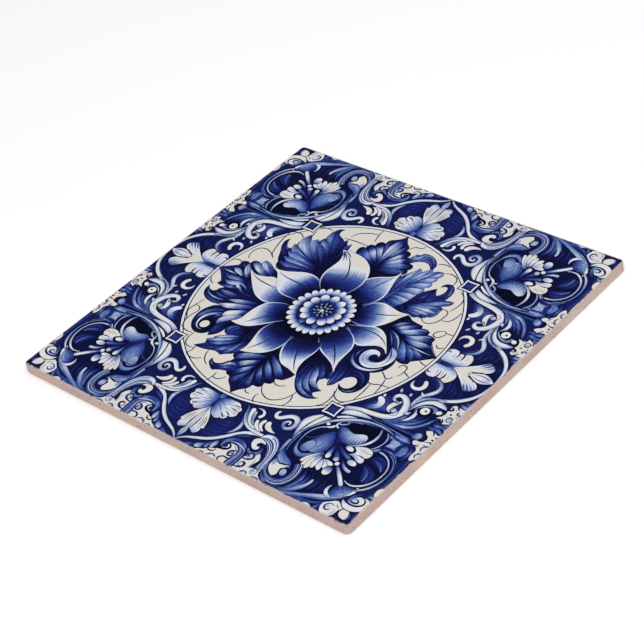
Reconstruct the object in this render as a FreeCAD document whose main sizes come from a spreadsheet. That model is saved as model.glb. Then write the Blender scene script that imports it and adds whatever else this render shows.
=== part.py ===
import FreeCAD, Part
import math
import os

import Sketcher

# A square glazed wall tile, pressed and fired as one piece of earthenware.
# It lies on its back with the painted face up: +Z is out of the face, and the origin is
# the middle of the back, so heights are measured from the bed that the tile lies on.
# All sizes are in millimetres.

NODE = "tile"

# Driving dimensions, one spreadsheet row each: alias, value, what it is.
DRIVING = [
    ("side", "150", "edge length of the square, over the edges"),
    ("thickness", "4", "from the back's bed to the painted face"),
    ("corner_radius", "2", "rounding of the four upright corners, in plan"),
    ("face_arris", "0.7", "radius where the glaze rolls over the face's rim"),
    ("back_bevel", "0.4", "45 degree bevel round the back, left by the press mould"),
    ("rim_width", "9", "flat border round the back, outside the key"),
    ("rib_width", "3", "flat ribs between the key's hollows"),
    ("hollows_per_row", "8", "hollows along each side of the key"),
    ("hollow_depth", "0.6", "how far the hollows are pressed into the back"),
    ("hollow_radius", "1.5", "rounding of each hollow's corners, in plan"),
]
# Sizes that follow from the driving ones.
DERIVED = [
    (
        "hollow_side",
        "=(side - 2 * rim_width - (hollows_per_row - 1) * rib_width) / hollows_per_row",
        "edge length of one square hollow",
    ),
    (
        "key_travel",
        "=(hollows_per_row - 1) * (hollow_side + rib_width)",
        "from the first hollow of a row to its last",
    ),
    ("half_side", "=side / 2", "from the middle of the tile to its edges"),
    ("half_key", "=half_side - rim_width", "from the middle of the tile to the key's edges"),
]

# Ends of a sketch line or arc, and the sketch's own origin point.
START, END = 1, 2
ORIGIN = (-1, 1)


def make_sheet(doc):
    """The spreadsheet that every feature's expressions read."""
    sheet = doc.addObject("Spreadsheet::Sheet", "Sizes")
    for row, (alias, content, meaning) in enumerate(DRIVING + DERIVED, start=1):
        sheet.set(f"A{row}", alias)
        sheet.set(f"B{row}", content)
        sheet.set(f"C{row}", meaning)
        sheet.setAlias(f"B{row}", alias)
    doc.recompute()
    return sheet


def origin_feature(body, role):
    """The body's own origin plane or axis of that role, such as XY_Plane."""
    return next(f for f in body.Origin.OriginFeatures if f.Role == role)


def rounded_square(body, sheet, name, side, reach, radius):
    """A sketch of a square with rounded corners on the body's XY plane. side, reach and
    radius are aliases in the sheet: its edge length, how far its left and lower edges lie
    from the origin, and the radius of its corners."""
    sketch = body.newObject("Sketcher::SketchObject", name)
    sketch.AttachmentSupport = (origin_feature(body, "XY_Plane"), [""])
    sketch.MapMode = "FlatFace"

    low = -sheet.get(reach)
    high = low + sheet.get(side)
    round_off = sheet.get(radius)
    corners = [(low, low), (high, low), (high, high), (low, high)]
    steps = [(1, 0), (0, 1), (-1, 0), (0, -1)]
    # Four edges, anticlockwise from the lower one, then the arc at the end of each.
    for (x, y), (next_x, next_y), (dx, dy) in zip(corners, corners[1:] + corners[:1], steps):
        begin = FreeCAD.Vector(x + dx * round_off, y + dy * round_off, 0)
        finish = FreeCAD.Vector(next_x - dx * round_off, next_y - dy * round_off, 0)
        sketch.addGeometry(Part.LineSegment(begin, finish), False)
    up = FreeCAD.Vector(0, 0, 1)
    quarter = math.pi / 2
    for turn, (x, y) in enumerate(corners[1:] + corners[:1]):
        inward_x = round_off if x == low else -round_off
        inward_y = round_off if y == low else -round_off
        circle = Part.Circle(FreeCAD.Vector(x + inward_x, y + inward_y, 0), up, round_off)
        first_angle = (turn - 1) * quarter
        sketch.addGeometry(Part.ArcOfCircle(circle, first_angle, first_angle + quarter), False)

    lower, right, upper, left = range(4)
    arcs = range(4, 8)
    for edge, arc in zip(range(4), arcs):
        after = (edge + 1) % 4
        sketch.addConstraint(Sketcher.Constraint("Tangent", edge, END, arc, START))
        sketch.addConstraint(Sketcher.Constraint("Tangent", arc, END, after, START))
    for edge, direction in zip(range(4), ["Horizontal", "Vertical"] * 2):
        sketch.addConstraint(Sketcher.Constraint(direction, edge))
    for arc in arcs[1:]:
        sketch.addConstraint(Sketcher.Constraint("Equal", arcs[0], arc))

    sized = [
        ("Width", Sketcher.Constraint("DistanceX", left, START, right, START, high - low), side),
        ("Height", Sketcher.Constraint("DistanceY", lower, START, upper, START, high - low), side),
        ("Left", Sketcher.Constraint("DistanceX", left, START, *ORIGIN, -low), reach),
        ("Below", Sketcher.Constraint("DistanceY", lower, START, *ORIGIN, -low), reach),
        ("Corner", Sketcher.Constraint("Radius", arcs[0], round_off), radius),
    ]
    for label, constraint, alias in sized:
        index = sketch.addConstraint(constraint)
        sketch.renameConstraint(index, label)
        sketch.setExpression(f"Constraints.{label}", f"Sizes.{alias}")
    body.Document.recompute()
    return sketch


def edges_where(shape, wanted):
    """Names of the shape's edges whose bounding box passes the test."""
    return [f"Edge{i}" for i, edge in enumerate(shape.Edges, start=1) if wanted(edge.BoundBox)]


def press_slab(body, sheet):
    """The slab itself, from the bed up to the painted face."""
    slab = body.newObject("PartDesign::Pad", "Slab")
    slab.Profile = rounded_square(body, sheet, "Outline", "side", "half_side", "corner_radius")
    slab.setExpression("Length", "Sizes.thickness")
    body.Document.recompute()
    return slab


def soften_edges(body, slab):
    """The rolled rim of the face and the bevel of the back, each right round the tile."""
    middle = slab.Shape.BoundBox.Center.z
    rim = body.newObject("PartDesign::Fillet", "FaceArris")
    rim.Base = (slab, edges_where(slab.Shape, lambda box: box.ZMin > middle))
    rim.setExpression("Radius", "Sizes.face_arris")
    body.Document.recompute()

    bevel = body.newObject("PartDesign::Chamfer", "BackBevel")
    bevel.Base = (rim, edges_where(rim.Shape, lambda box: box.ZMax < middle))
    bevel.setExpression("Size", "Sizes.back_bevel")
    body.Document.recompute()


def press_key(body, sheet):
    """The key on the back, a lattice of shallow square hollows that the bedding grips.
    One hollow is cut at the key's lower left corner and repeated along X and Y."""
    hollow = body.newObject("PartDesign::Pocket", "Hollow")
    hollow.Profile = rounded_square(
        body, sheet, "HollowOutline", "hollow_side", "half_key", "hollow_radius"
    )
    hollow.Reversed = True
    hollow.setExpression("Length", "Sizes.hollow_depth")
    body.Document.recompute()

    key = body.newObject("PartDesign::LinearPattern", "Key")
    key.Originals = [hollow]
    key.Direction = (origin_feature(body, "X_Axis"), [""])
    key.Direction2 = (origin_feature(body, "Y_Axis"), [""])
    for suffix in ("", "2"):
        setattr(key, "Mode" + suffix, "Extent")
        key.setExpression("Length" + suffix, "Sizes.key_travel")
        key.setExpression("Occurrences" + suffix, "Sizes.hollows_per_row")
    body.Tip = key
    body.Document.recompute()


def make_tile(doc, sheet):
    """The whole tile as one body."""
    body = doc.addObject("PartDesign::Body", "Tile")
    body.Label = NODE
    slab = press_slab(body, sheet)
    soften_edges(body, slab)
    plain = body.Tip.Shape.Volume
    press_key(body, sheet)

    hollow_area = sheet.hollow_side**2 - (4 - math.pi) * sheet.hollow_radius**2
    expected = plain - sheet.hollows_per_row**2 * hollow_area * sheet.hollow_depth
    print(f"volume {body.Shape.Volume:.2f} mm3, expected {expected:.2f} mm3")
    return body


def check(doc, pieces):
    """Stops before anything is written if a feature failed or a piece isn't one sound solid."""
    for item in doc.Objects:
        if {"Invalid", "Error"} & set(item.State):
            raise RuntimeError(f"{item.Label} failed: {item.State}")
    for piece in pieces:
        shape = piece.Shape
        if shape.isNull() or not shape.isValid() or len(shape.Solids) != 1:
            raise RuntimeError(f"{piece.Label} isn't one valid solid")


def main():
    doc = FreeCAD.newDocument("AzulejoTile")
    sheet = make_sheet(doc)
    pieces = [make_tile(doc, sheet)]
    doc.recompute()
    check(doc, pieces)
    os.makedirs("parts", exist_ok=True)
    for piece in pieces:
        piece.Shape.exportStep(f"parts/{piece.Label}.step")
        box = piece.Shape.optimalBoundingBox(False, False)
        print(f"{piece.Label}: {box.XLength:.2f} x {box.YLength:.2f} x {box.ZLength:.2f} mm")


main()
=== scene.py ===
# %% [markdown]
# # A blue and white azulejo, painted in code
# The real thing is a square earthenware tile: pressed clay, fired once, dipped in a white tin
# glaze, painted with one pigment, cobalt blue, and fired again. The clay body comes from the CAD
# model and stays as it is. This lesson adds what the kiln and the painter gave it: the finish of
# the bare clay, and a glazed face with its ornament.

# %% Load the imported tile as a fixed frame
import math
from collections import namedtuple

import bmesh
import bpy
import numpy as np
from mathutils import Matrix, Vector
from mathutils.geometry import delaunay_2d_cdt


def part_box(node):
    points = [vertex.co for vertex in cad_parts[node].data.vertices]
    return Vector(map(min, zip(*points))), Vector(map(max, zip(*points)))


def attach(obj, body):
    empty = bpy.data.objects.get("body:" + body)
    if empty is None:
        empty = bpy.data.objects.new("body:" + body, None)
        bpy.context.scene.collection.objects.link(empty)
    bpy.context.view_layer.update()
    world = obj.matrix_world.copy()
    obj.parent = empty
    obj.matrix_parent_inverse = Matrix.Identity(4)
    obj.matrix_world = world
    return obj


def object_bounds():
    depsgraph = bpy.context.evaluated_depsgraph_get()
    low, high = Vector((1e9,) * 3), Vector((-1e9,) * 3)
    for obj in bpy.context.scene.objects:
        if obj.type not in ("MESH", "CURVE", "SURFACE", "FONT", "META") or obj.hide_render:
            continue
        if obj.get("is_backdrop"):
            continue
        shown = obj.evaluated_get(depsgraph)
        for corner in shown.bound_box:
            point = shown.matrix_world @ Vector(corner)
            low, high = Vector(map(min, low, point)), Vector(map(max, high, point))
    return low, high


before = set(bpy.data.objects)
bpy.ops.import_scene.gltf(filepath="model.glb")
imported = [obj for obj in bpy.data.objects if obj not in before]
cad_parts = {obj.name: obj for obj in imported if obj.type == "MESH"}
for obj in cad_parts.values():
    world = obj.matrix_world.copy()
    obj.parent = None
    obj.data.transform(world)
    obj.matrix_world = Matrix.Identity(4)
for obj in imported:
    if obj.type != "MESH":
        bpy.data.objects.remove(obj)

MM = 0.001
cad_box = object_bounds()
low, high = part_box("tile")
half_side = (high.x - low.x) / 2 / MM
face_height = high.z / MM
print(f"tile: {2 * half_side:.1f} mm square, its face {face_height:.2f} mm above the bed")

# %% [markdown]
# ## One pigment, many strengths
# Cobalt fires to near black where the brush leaves it thick, and to pale blue where it is thin;
# bare glaze stays a warm white. So the whole picture needs one number at each point, the strength
# of the cobalt from 0 to 1, and one colour ramp. These are the strengths that the painter mixes.

# %% Strengths of cobalt
CREAM, WHITE, PALE, SKY, BLUE, DEEP, NAVY, INK = 0.0, 0.06, 0.22, 0.4, 0.56, 0.72, 0.87, 0.98
print("eight strengths, from bare glaze at", CREAM, "to the contour's ink at", INK)

# %% [markdown]
# ## Smooth lines through a few points
# A painter fixes a stroke by where it starts, swings and ends. Each line of the ornament is given
# the same way, by a few points in millimetres from the middle of the face, x to the right and y
# away. Blender's curves could do it, but the points are needed for cutting and shading as well,
# so a short spline is written out: at each point it takes the direction of the circle through the
# neighbours, and a point that is written twice is a corner.

# %% Splines
TURN_STEP = 0.38     # radians that one segment may turn
LONGEST_STEP = 1.6   # millimetres that one segment may run
TINY = 1e-9          # keeps a division safe


def bend(knots):
    """One smooth run through the knots."""
    spans = np.diff(knots, axis=0)
    lengths = np.linalg.norm(spans, axis=1)
    ways = spans / lengths[:, None]
    tangents = np.vstack([ways[:1], ways[-1:]])
    if len(knots) > 2:
        inner = ways[:-1] * lengths[1:, None] + ways[1:] * lengths[:-1, None]
        inner /= np.maximum(np.linalg.norm(inner, axis=1), TINY)[:, None]
        first = 2 * (ways[0] @ inner[0]) * ways[0] - inner[0]
        last = 2 * (ways[-1] @ inner[-1]) * ways[-1] - inner[-1]
        tangents = np.vstack([first, inner, last])
    line = [knots[:1]]
    for k, length in enumerate(lengths):
        turn = math.acos(max(-1.0, min(1.0, float(tangents[k] @ tangents[k + 1]))))
        count = max(1, math.ceil(length / LONGEST_STEP), math.ceil(turn / TURN_STEP))
        u = (np.arange(1, count + 1) / count)[:, None]
        line.append(
            (2 * u**3 - 3 * u**2 + 1) * knots[k]
            + (u**3 - 2 * u**2 + u) * length * tangents[k]
            + (3 * u**2 - 2 * u**3) * knots[k + 1]
            + (u**3 - u**2) * length * tangents[k + 1]
        )
    return np.vstack(line)


def flow(points):
    """A line through the points, smooth but for the points that are written twice."""
    ends = [0] + [i for i in range(1, len(points)) if points[i] == points[i - 1]] + [len(points)]
    runs = [bend(np.array(points[a:b], float)) for a, b in zip(ends, ends[1:]) if b - a > 1]
    return np.vstack([runs[0]] + [run[1:] for run in runs[1:]])


def along(line):
    """How far along the line each of its points is, from 0 to 1."""
    steps = np.linalg.norm(np.diff(line, axis=0), axis=1)
    return np.concatenate([[0.0], np.cumsum(steps)]) / steps.sum()


def even(line, count):
    """The same line as evenly spaced stations."""
    stops = np.linspace(0, 1, count)
    t = along(line)
    return np.column_stack([np.interp(stops, t, line[:, axis]) for axis in (0, 1)])


def spread(values, count):
    """A few values, spread evenly over that many stations."""
    values = np.atleast_1d(np.array(values, float))
    return np.interp(np.linspace(0, 1, count), np.linspace(0, 1, len(values)), values)


print("a quarter turn takes", len(flow([(1, 0), (0.7071, 0.7071), (0, 1)])), "points")

# %% [markdown]
# ## The painter's marks
# Every mark has a left and a right edge that run side by side from its root to its tip: a brush
# stroke has them a brush's width apart, a petal or a leaf has them given one by one. Between the
# two edges any spot has a place along the mark and a place across it, which is all that shading
# needs: cobalt that thins towards the tip, and fine bristle lines that follow the form. The border
# repeats in four mirrored quarters, so its painter lays each mark four times.

# %% Marks and painters
Mark = namedtuple("Mark", "outline left right cobalt across")
marks = []
CAP_STEPS = 4        # segments in the round end of a stroke
VEIN_STATIONS = 12   # stations along a blade that its veins run through
HOOK_TURN = 65       # degrees from one point of a hook to the next


def band(spine, half):
    """The two edges of a stroke, and its outline with rounded ends."""
    way = np.gradient(spine, axis=0)
    way /= np.maximum(np.linalg.norm(way, axis=1), TINY)[:, None]
    normal = np.column_stack([-way[:, 1], way[:, 0]])
    left = spine + normal * half[:, None]
    right = spine - normal * half[:, None]
    angles = np.linspace(0, math.pi, CAP_STEPS + 1)[1:-1, None]
    tip_cap = spine[-1] + half[-1] * (normal[-1] * np.cos(angles) + way[-1] * np.sin(angles))
    root_cap = spine[0] - half[0] * (normal[0] * np.cos(angles) + way[0] * np.sin(angles))
    return left, right, np.vstack([left, tip_cap, right[::-1], root_cap])


class Painter:
    """Lays marks on the face, each one repeated in the painter's mirrors."""

    def __init__(self, mirrors):
        self.mirrors = [np.array(mirror, float) for mirror in mirrors]

    def lay(self, outline, left, right, cobalt, across):
        for mirror in self.mirrors:
            marks.append(Mark(outline * mirror, left * mirror, right * mirror, cobalt, across))

    def stroke(self, points, width, cobalt, across=0.0, ink=0.0):
        """A brush stroke: widths and strengths change evenly from its start to its end."""
        spine = flow(points)
        half = np.interp(along(spine), np.linspace(0, 1, np.size(width)), np.atleast_1d(width)) / 2
        if ink:
            left, right, outline = band(spine, half + ink)
            self.lay(outline, left, right, INK, 0.0)
        left, right, outline = band(spine, half)
        self.lay(outline, left, right, cobalt, across)

    def blade(self, left, right, cobalt, across=0.0, ink=0.0):
        """A petal, leaf or lobe between two edges that run from its root to its tip."""
        if ink:
            self.stroke(left, 2 * ink, INK)
            self.stroke(right, 2 * ink, INK)
        left, right = flow(left), flow(right)
        outline = np.vstack([left, right[::-1]])
        count = max(len(left), len(right), 4)
        self.lay(outline, even(left, count), even(right, count), cobalt, across)

    def bead(self, middle, size, cobalt, turn=0.0, across=0.0, ink=0.0):
        """An oval bead, with its strengths from one end to the other, at turn degrees."""
        if ink:
            self.bead(middle, (size[0] + 2 * ink, size[1] + 2 * ink), INK, turn)
        way = np.array([math.cos(math.radians(turn)), math.sin(math.radians(turn))])
        side = np.array([-way[1], way[0]])
        angles = np.linspace(math.pi, 0, 7 + 4 * int(math.sqrt(max(size))))[:, None]
        reach = np.array(middle) + way * np.cos(angles) * size[0] / 2
        swell = side * np.sin(angles) * size[1] / 2
        outline = np.vstack([reach + swell, (reach - swell)[-2:0:-1]])
        self.lay(outline, reach + swell, reach - swell, cobalt, across)

    def veins(self, left, right, count, width, cobalt, begin, end):
        """Thin lines that run along a blade, evenly spaced between its two edges."""
        left, right = even(flow(left), VEIN_STATIONS), even(flow(right), VEIN_STATIONS)
        first = round(begin * (VEIN_STATIONS - 1))
        last = round(end * (VEIN_STATIONS - 1))
        for k in range(1, count + 1):
            line = left + (right - left) * k / (count + 1)
            inked = [tuple(p) for p in line[first:last + 1:2]]
            self.stroke(inked, (0.3 * width, width, 0.3 * width), cobalt)

    def strokes(self, rows, across=0.0, ink=0.0):
        """Strokes of one manner: each row has the points, the widths and the strengths."""
        for points, width, cobalt in rows:
            self.stroke(points, width, cobalt, across, ink)

    def blades(self, rows, across=0.0, ink=0.0):
        """Blades of one manner: each row has the left edge, the right edge and the strengths."""
        for left, right, cobalt in rows:
            self.blade(left, right, cobalt, across, ink)

    def beads(self, rows, ink=0.0):
        """Beads of one manner: each row has the middle, the size, the strengths and the turn."""
        for middle, size, cobalt, turn in rows:
            self.bead(middle, size, cobalt, turn, ink=ink)

    def curl(self, middle, radius, start, cobalt):
        """A small hook of the brush round a middle, from the first angle on and drawing in."""
        angles = [math.radians(start + HOOK_TURN * k) for k in range(5)]
        reach = [radius * (1 - 0.12 * k) for k in range(5)]
        hook = [
            (middle[0] + r * math.cos(angle), middle[1] + r * math.sin(angle))
            for r, angle in zip(reach, angles)
        ]
        self.stroke(hook, (0.25, 0.45, 0.55, 0.5, 0.25), cobalt)

    def bands(self, left, right, cobalts):
        """A ribbon of stripes between two edges, with a strength for each stripe."""
        left, right = flow(left), flow(right)
        count = max(len(left), len(right))
        left, right = even(left, count), even(right, count)
        for k, cobalt in enumerate(cobalts):
            near = left + (right - left) * k / len(cobalts)
            far = left + (right - left) * (k + 1) / len(cobalts)
            self.lay(np.vstack([near, far[::-1]]), near, far, cobalt, 0.0)


QUARTERS = [(1, 1), (-1, 1), (-1, -1), (1, -1)]
border = Painter(QUARTERS)
centre = Painter([(1, 1)])
print("two painters, the border's with", len(border.mirrors), "mirrors")

# %% [markdown]
# ## The ground and the border's frame
# All four sides have the same scheme: a dark ground, a white band that swings in an ogee from the
# middle of the side, and a palmette under it. The scheme is a common one on tiles; the curves
# here are this lesson's own. First the ground, then the frame's lines.

# %% Ground and ogee bands
GROUND = 0.84
centre.blade(
    [(-half_side, -half_side), (-half_side, half_side)],
    [(half_side, -half_side), (half_side, half_side)],
    GROUND,
)

# Far and near sides: a rippled shell behind the palmette, then the white bands.
border.blade([(5, 67), (9, 67.8), (12.6, 65)], [(6.6, 58.5), (10.5, 56.8), (13, 58.4)], 0.8)
for ripple in (
    [(5.9, 66.4), (9.5, 66.8), (12.6, 64.6)], [(6, 64.7), (9.6, 64.9), (13, 62.4)],
    [(6.4, 63), (9.9, 63), (13.2, 60.4)], [(7.2, 61.3), (10.2, 61.1), (13, 58.9)],
    [(8, 59.7), (10.6, 59.3), (12.6, 57.4)],
):
    border.stroke(ripple, (0.2, 0.6, 0.3), (0.76, 0.67, 0.78))
border.stroke([(12.4, 54.4), (14.6, 56.6), (15.4, 59), (14.8, 61.6), (12.6, 64)],
              (0.2, 1.0, 1.5, 1.1, 0.2), (BLUE, PALE, WHITE, PALE, SKY), across=(0.25, 0.0, 0.3),
              ink=0.25)
border.stroke([(0, 74.6), (2.8, 72), (6, 70.5), (9.3, 69), (12, 67.1), (14, 65.1), (16.2, 62.6),
               (18.4, 60.5), (21, 59.2), (24.8, 58.6)],
              (0.5, 0.9, 1.2, 1.3, 1.3, 1.3, 1.4, 0.9), (PALE, WHITE, WHITE, WHITE, CREAM, WHITE),
              across=(0.1, 0.0, 0.2), ink=0.35)

# Right and left sides.
border.blade([(62, 0), (62.4, 6), (63.2, 11), (66.5, 12.8)],
             [(74.8, 0), (73.4, 5), (71.6, 9), (66.5, 12.8)], 0.88)
for ripple in (
    [(61.4, 5.6), (62.8, 8.6), (62.6, 12)], [(63, 5.8), (64.6, 9), (64.4, 12.6)],
    [(65, 8), (66.2, 10), (66, 12.4)], [(67.6, 8.4), (68.4, 9.8), (68, 11.6)],
    [(72.2, 3.6), (72.2, 6), (71.4, 8)],
):
    border.stroke(ripple, (0.2, 0.7, 0.2), (0.8, 0.7, 0.8))
border.stroke([(74.6, 0), (74.3, 4), (73.6, 7.2), (72, 10), (69.6, 12.5), (66.8, 14.2), (64, 15.3)],
              (0.5, 0.9, 1.3, 1.4, 1.2), (PALE, WHITE, CREAM, WHITE), across=(0.2, 0.0, 0.0), ink=0.35)
border.stroke([(71.4, 9.6), (69.2, 11.6), (66.6, 13)], (0.2, 0.4, 0.2), BLUE)
border.stroke([(57.4, 24), (57.5, 20), (57.8, 17), (59.2, 15), (60.8, 12.6), (60.7, 10), (58.8, 8.1),
               (55.2, 7.6)],
              (0.4, 1.0, 1.3, 1.5, 1.6, 1.4, 1.0, 0.3), (SKY, WHITE, PALE, WHITE, PALE, SKY, BLUE),
              across=(0.2, 0.0, 0.15), ink=0.3)
border.stroke([(59.6, 11.2), (58.4, 9.2), (55.8, 8.4)], (0.2, 0.5, 0.2), (BLUE, DEEP))
border.stroke([(56.9, 15.2), (57.8, 16), (58.6, 15.8)], (0.3, 0.7, 0.3), WHITE)
print(len(marks), "marks in the frame")

# %% [markdown]
# ## Palmettes
# A palmette is a fan of rounded lobes, bare glaze at the tips and blue where they spring. Half of
# one is enough, as the mirror gives the other half.

# %% Palmettes of the far and near sides
border.blade(
    [(0, 56.5), (2.6, 60), (4.4, 63.2), (5.3, 66), (5.3, 66), (4.3, 66.3), (4.3, 66.3), (4.5, 68.2),
     (3.4, 69.3), (2.2, 68.8)],
    [(0, 56.5), (0, 62), (0.2, 66), (0.9, 68), (2.2, 68.8)], (PALE, CREAM, CREAM, WHITE, SKY), ink=0.3)
border.strokes([
    ([(1.2, 62.5), (1.35, 65), (1.2, 67.8)], (0.15, 0.45, 0.25), NAVY),
    ([(1.8, 61.6), (2.4, 64), (2.7, 67.4)], (0.15, 0.3, 0.12), (SKY, BLUE)),
    ([(2.3, 61.4), (3.2, 63.8), (3.7, 67)], (0.15, 0.35, 0.2), (SKY, DEEP)),
    ([(2.6, 61.2), (3.8, 63.6), (4.6, 65.6)], (0.15, 0.3, 0.12), (SKY, BLUE)),
])
border.blade([(0, 57), (0.7, 62), (0.75, 66), (0.55, 68.4), (1.1, 69.9), (0.9, 71.2), (0, 73.2)],
             [(0, 57), (0, 66), (0, 73.2)], (PALE, WHITE, WHITE, PALE, SKY), ink=0.25)
border.stroke([(0, 58), (0, 65), (0, 71)], (0.2, 0.3, 0.1), (SKY, BLUE))
border.blade(
    [(0.2, 51.4), (0.3, 55), (1.2, 57.9), (3.1, 59.6), (5.1, 60), (6.1, 59), (6.1, 59), (7.7, 58.9),
     (8.2, 57.7), (7.5, 56.9), (7.5, 56.9), (9.4, 57), (10.5, 55.6), (9.9, 54.1), (9.9, 54.1)],
    [(0.2, 51.4), (2, 50.7), (5, 50.5), (8.4, 50.9), (9.2, 52), (9.2, 52), (10.4, 52.8), (9.9, 54.1)],
    (DEEP, 0.48, 0.16, CREAM, CREAM, WHITE), across=(0.1, 0.02, -0.04, 0.06), ink=0.3)
border.strokes([
    ([(7.2, 57.9), (5.4, 57.2), (3.4, 55.8)], (0.9, 0.9, 0.2), (PALE, 0.12, SKY)),
    ([(9.6, 55.2), (7, 55), (4, 54.4)], (0.9, 0.8, 0.2), (PALE, 0.12, SKY)),
    ([(9.4, 52.8), (7, 52.6), (4, 52.8)], (0.9, 0.8, 0.2), (PALE, 0.12, SKY)),
    ([(7, 58.4), (5.9, 57.7), (4.9, 56.8)], (0.5, 0.5, 0.12), (NAVY, DEEP, BLUE)),
    ([(8.4, 56.8), (7.2, 56.2), (5.6, 55.6)], (0.4, 0.45, 0.12), (NAVY, DEEP, BLUE)),
    ([(9.4, 54), (7.8, 53.8), (6.2, 53.6)], (0.4, 0.45, 0.12), (NAVY, DEEP, BLUE)),
    ([(8.8, 51.9), (7.4, 51.9), (6, 52.1)], (0.4, 0.4, 0.12), (NAVY, DEEP, BLUE)),
    ([(3.8, 58.8), (2.6, 57.4), (1.6, 55.6)], (0.12, 0.3, 0.12), (PALE, SKY, BLUE)),
    ([(4.4, 56.4), (3.2, 55.4), (2, 54.4)], (0.12, 0.3, 0.12), (SKY, BLUE, DEEP)),
    ([(4.6, 53.8), (3.2, 53.6), (2, 53.4)], (0.12, 0.3, 0.12), (SKY, BLUE, DEEP)),
])
border.bead((0, 50.6), (2.6, 2.0), (BLUE, SKY), 90, ink=0.25)
print(len(marks), "marks with the first palmettes")

# %% [markdown]
# On the right and left sides the palmette has other lobes: round ones below, a cream trunk that fans
# out, and a small leaf in the middle. Turning the first one would be quicker, but it wouldn't fit.

# %% Palmettes of the right and left sides
border.blade([(56, 0.4), (52.4, 0.7), (50.9, 2.6), (50.9, 5.4), (52, 7.2), (53.6, 7.6)],
             [(56.6, 0.4), (60.2, 1.5), (61.8, 4.2), (61.1, 6.6), (59.8, 7.7), (58, 7), (56.4, 6.6),
              (54.8, 7.3), (53.6, 7.6)],
             (DEEP, SKY, WHITE, CREAM, CREAM, WHITE), across=(0.14, 0.06, 0.0, -0.05), ink=0.3)
border.strokes([
    ([(51.1, 5.4), (52, 5.9), (52.9, 5.5)], (0.5, 0.6, 0.2), (NAVY, DEEP, SKY)),
    ([(55.5, 7.1), (55.9, 5.4), (55.3, 3)], (0.7, 0.55, 0.12), (INK, DEEP, SKY)),
    ([(57.5, 7), (58, 5.4), (57.7, 3.4)], (0.6, 0.75, 0.15), (INK, INK, BLUE)),
    ([(56.8, 6.2), (56.9, 4.8), (56.4, 3)], (0.12, 0.35, 0.12), (PALE, SKY, PALE)),
    ([(54.4, 6.2), (54.6, 4.6), (54.2, 3.2)], (0.12, 0.4, 0.12), (PALE, SKY, SKY)),
    ([(59.5, 6.8), (59.5, 4.8), (58.6, 2.6)], (0.12, 0.4, 0.12), PALE),
    ([(61, 5), (60.4, 3.4), (58.9, 2)], (0.12, 0.35, 0.12), PALE),
])
border.stroke([(52, 0.6), (54.6, 0.7), (58, 0.5)], (0.5, 0.9, 0.2), (NAVY, DEEP, SKY))
border.blade(
    [(57.4, 0), (60, 1.2), (62.4, 3), (64.8, 4.9), (66.2, 6.4), (67.4, 7.7)],
    [(57.4, 0), (62, 0), (65, 1.1), (68, 2.3), (70.2, 3.6), (70.9, 5), (69.8, 6.6), (67.4, 7.7)],
    (CREAM, CREAM, CREAM, CREAM, CREAM, PALE, BLUE), across=(0.06, 0.0, 0.0, 0.04), ink=0.25)
border.blade([(58.2, 0), (60.6, 1.1), (62.6, 2.3), (64.8, 2)], [(58.2, 0), (62, 0), (65, 0)], CREAM)
border.strokes([
    ([(65.2, 4.4), (66.6, 5.8), (67.6, 7.4)], (0.12, 0.5, 0.2), (PALE, BLUE, NAVY)),
    ([(66, 4), (67.6, 5.4), (68.8, 7)], (0.12, 0.6, 0.4), (PALE, BLUE, NAVY)),
    ([(67, 3.8), (68.8, 5), (70, 6.4)], (0.12, 0.5, 0.3), (PALE, SKY, DEEP)),
    ([(62.6, 2.2), (65, 3.6), (66.6, 5)], (0.12, 0.35, 0.12), (WHITE, PALE, PALE)),
    ([(67.2, 2.9), (69, 3.9), (70.4, 5)], (0.12, 0.4, 0.12), (WHITE, PALE, SKY)),
])
border.blade([(64.2, 0), (65.8, 0.9), (68.2, 2), (70.4, 2.2), (72.4, 1.4), (74.2, 0)],
             [(64.2, 0), (69, 0), (74.2, 0)], (CREAM, CREAM, WHITE, PALE, WHITE), ink=0.25)
border.stroke([(63.4, 1), (65.8, 1.5), (68.2, 2.5)], (0.1, 0.4, 0.5), (PALE, DEEP, NAVY))
border.stroke([(65.8, 0.4), (68.4, 1.1), (71, 1), (73, 0.4)], (0.12, 0.4, 0.4, 0.1), (PALE, BLUE, DEEP))
border.stroke([(54, 0), (57, 0), (60.4, 0)], (0.5, 0.4, 0.1), (NAVY, BLUE, PALE))
border.bead((51.4, 0), (2.6, 2.0), (DEEP, BLUE), 0, ink=0.2)
print(len(marks), "marks with the palmettes")

# %% [markdown]
# ## Scrolls
# Rows of white strokes fill the ground between the ogee and the medallion, each one a single pull
# of the brush: it starts thin, swells in the bend and curls to an end.

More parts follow.
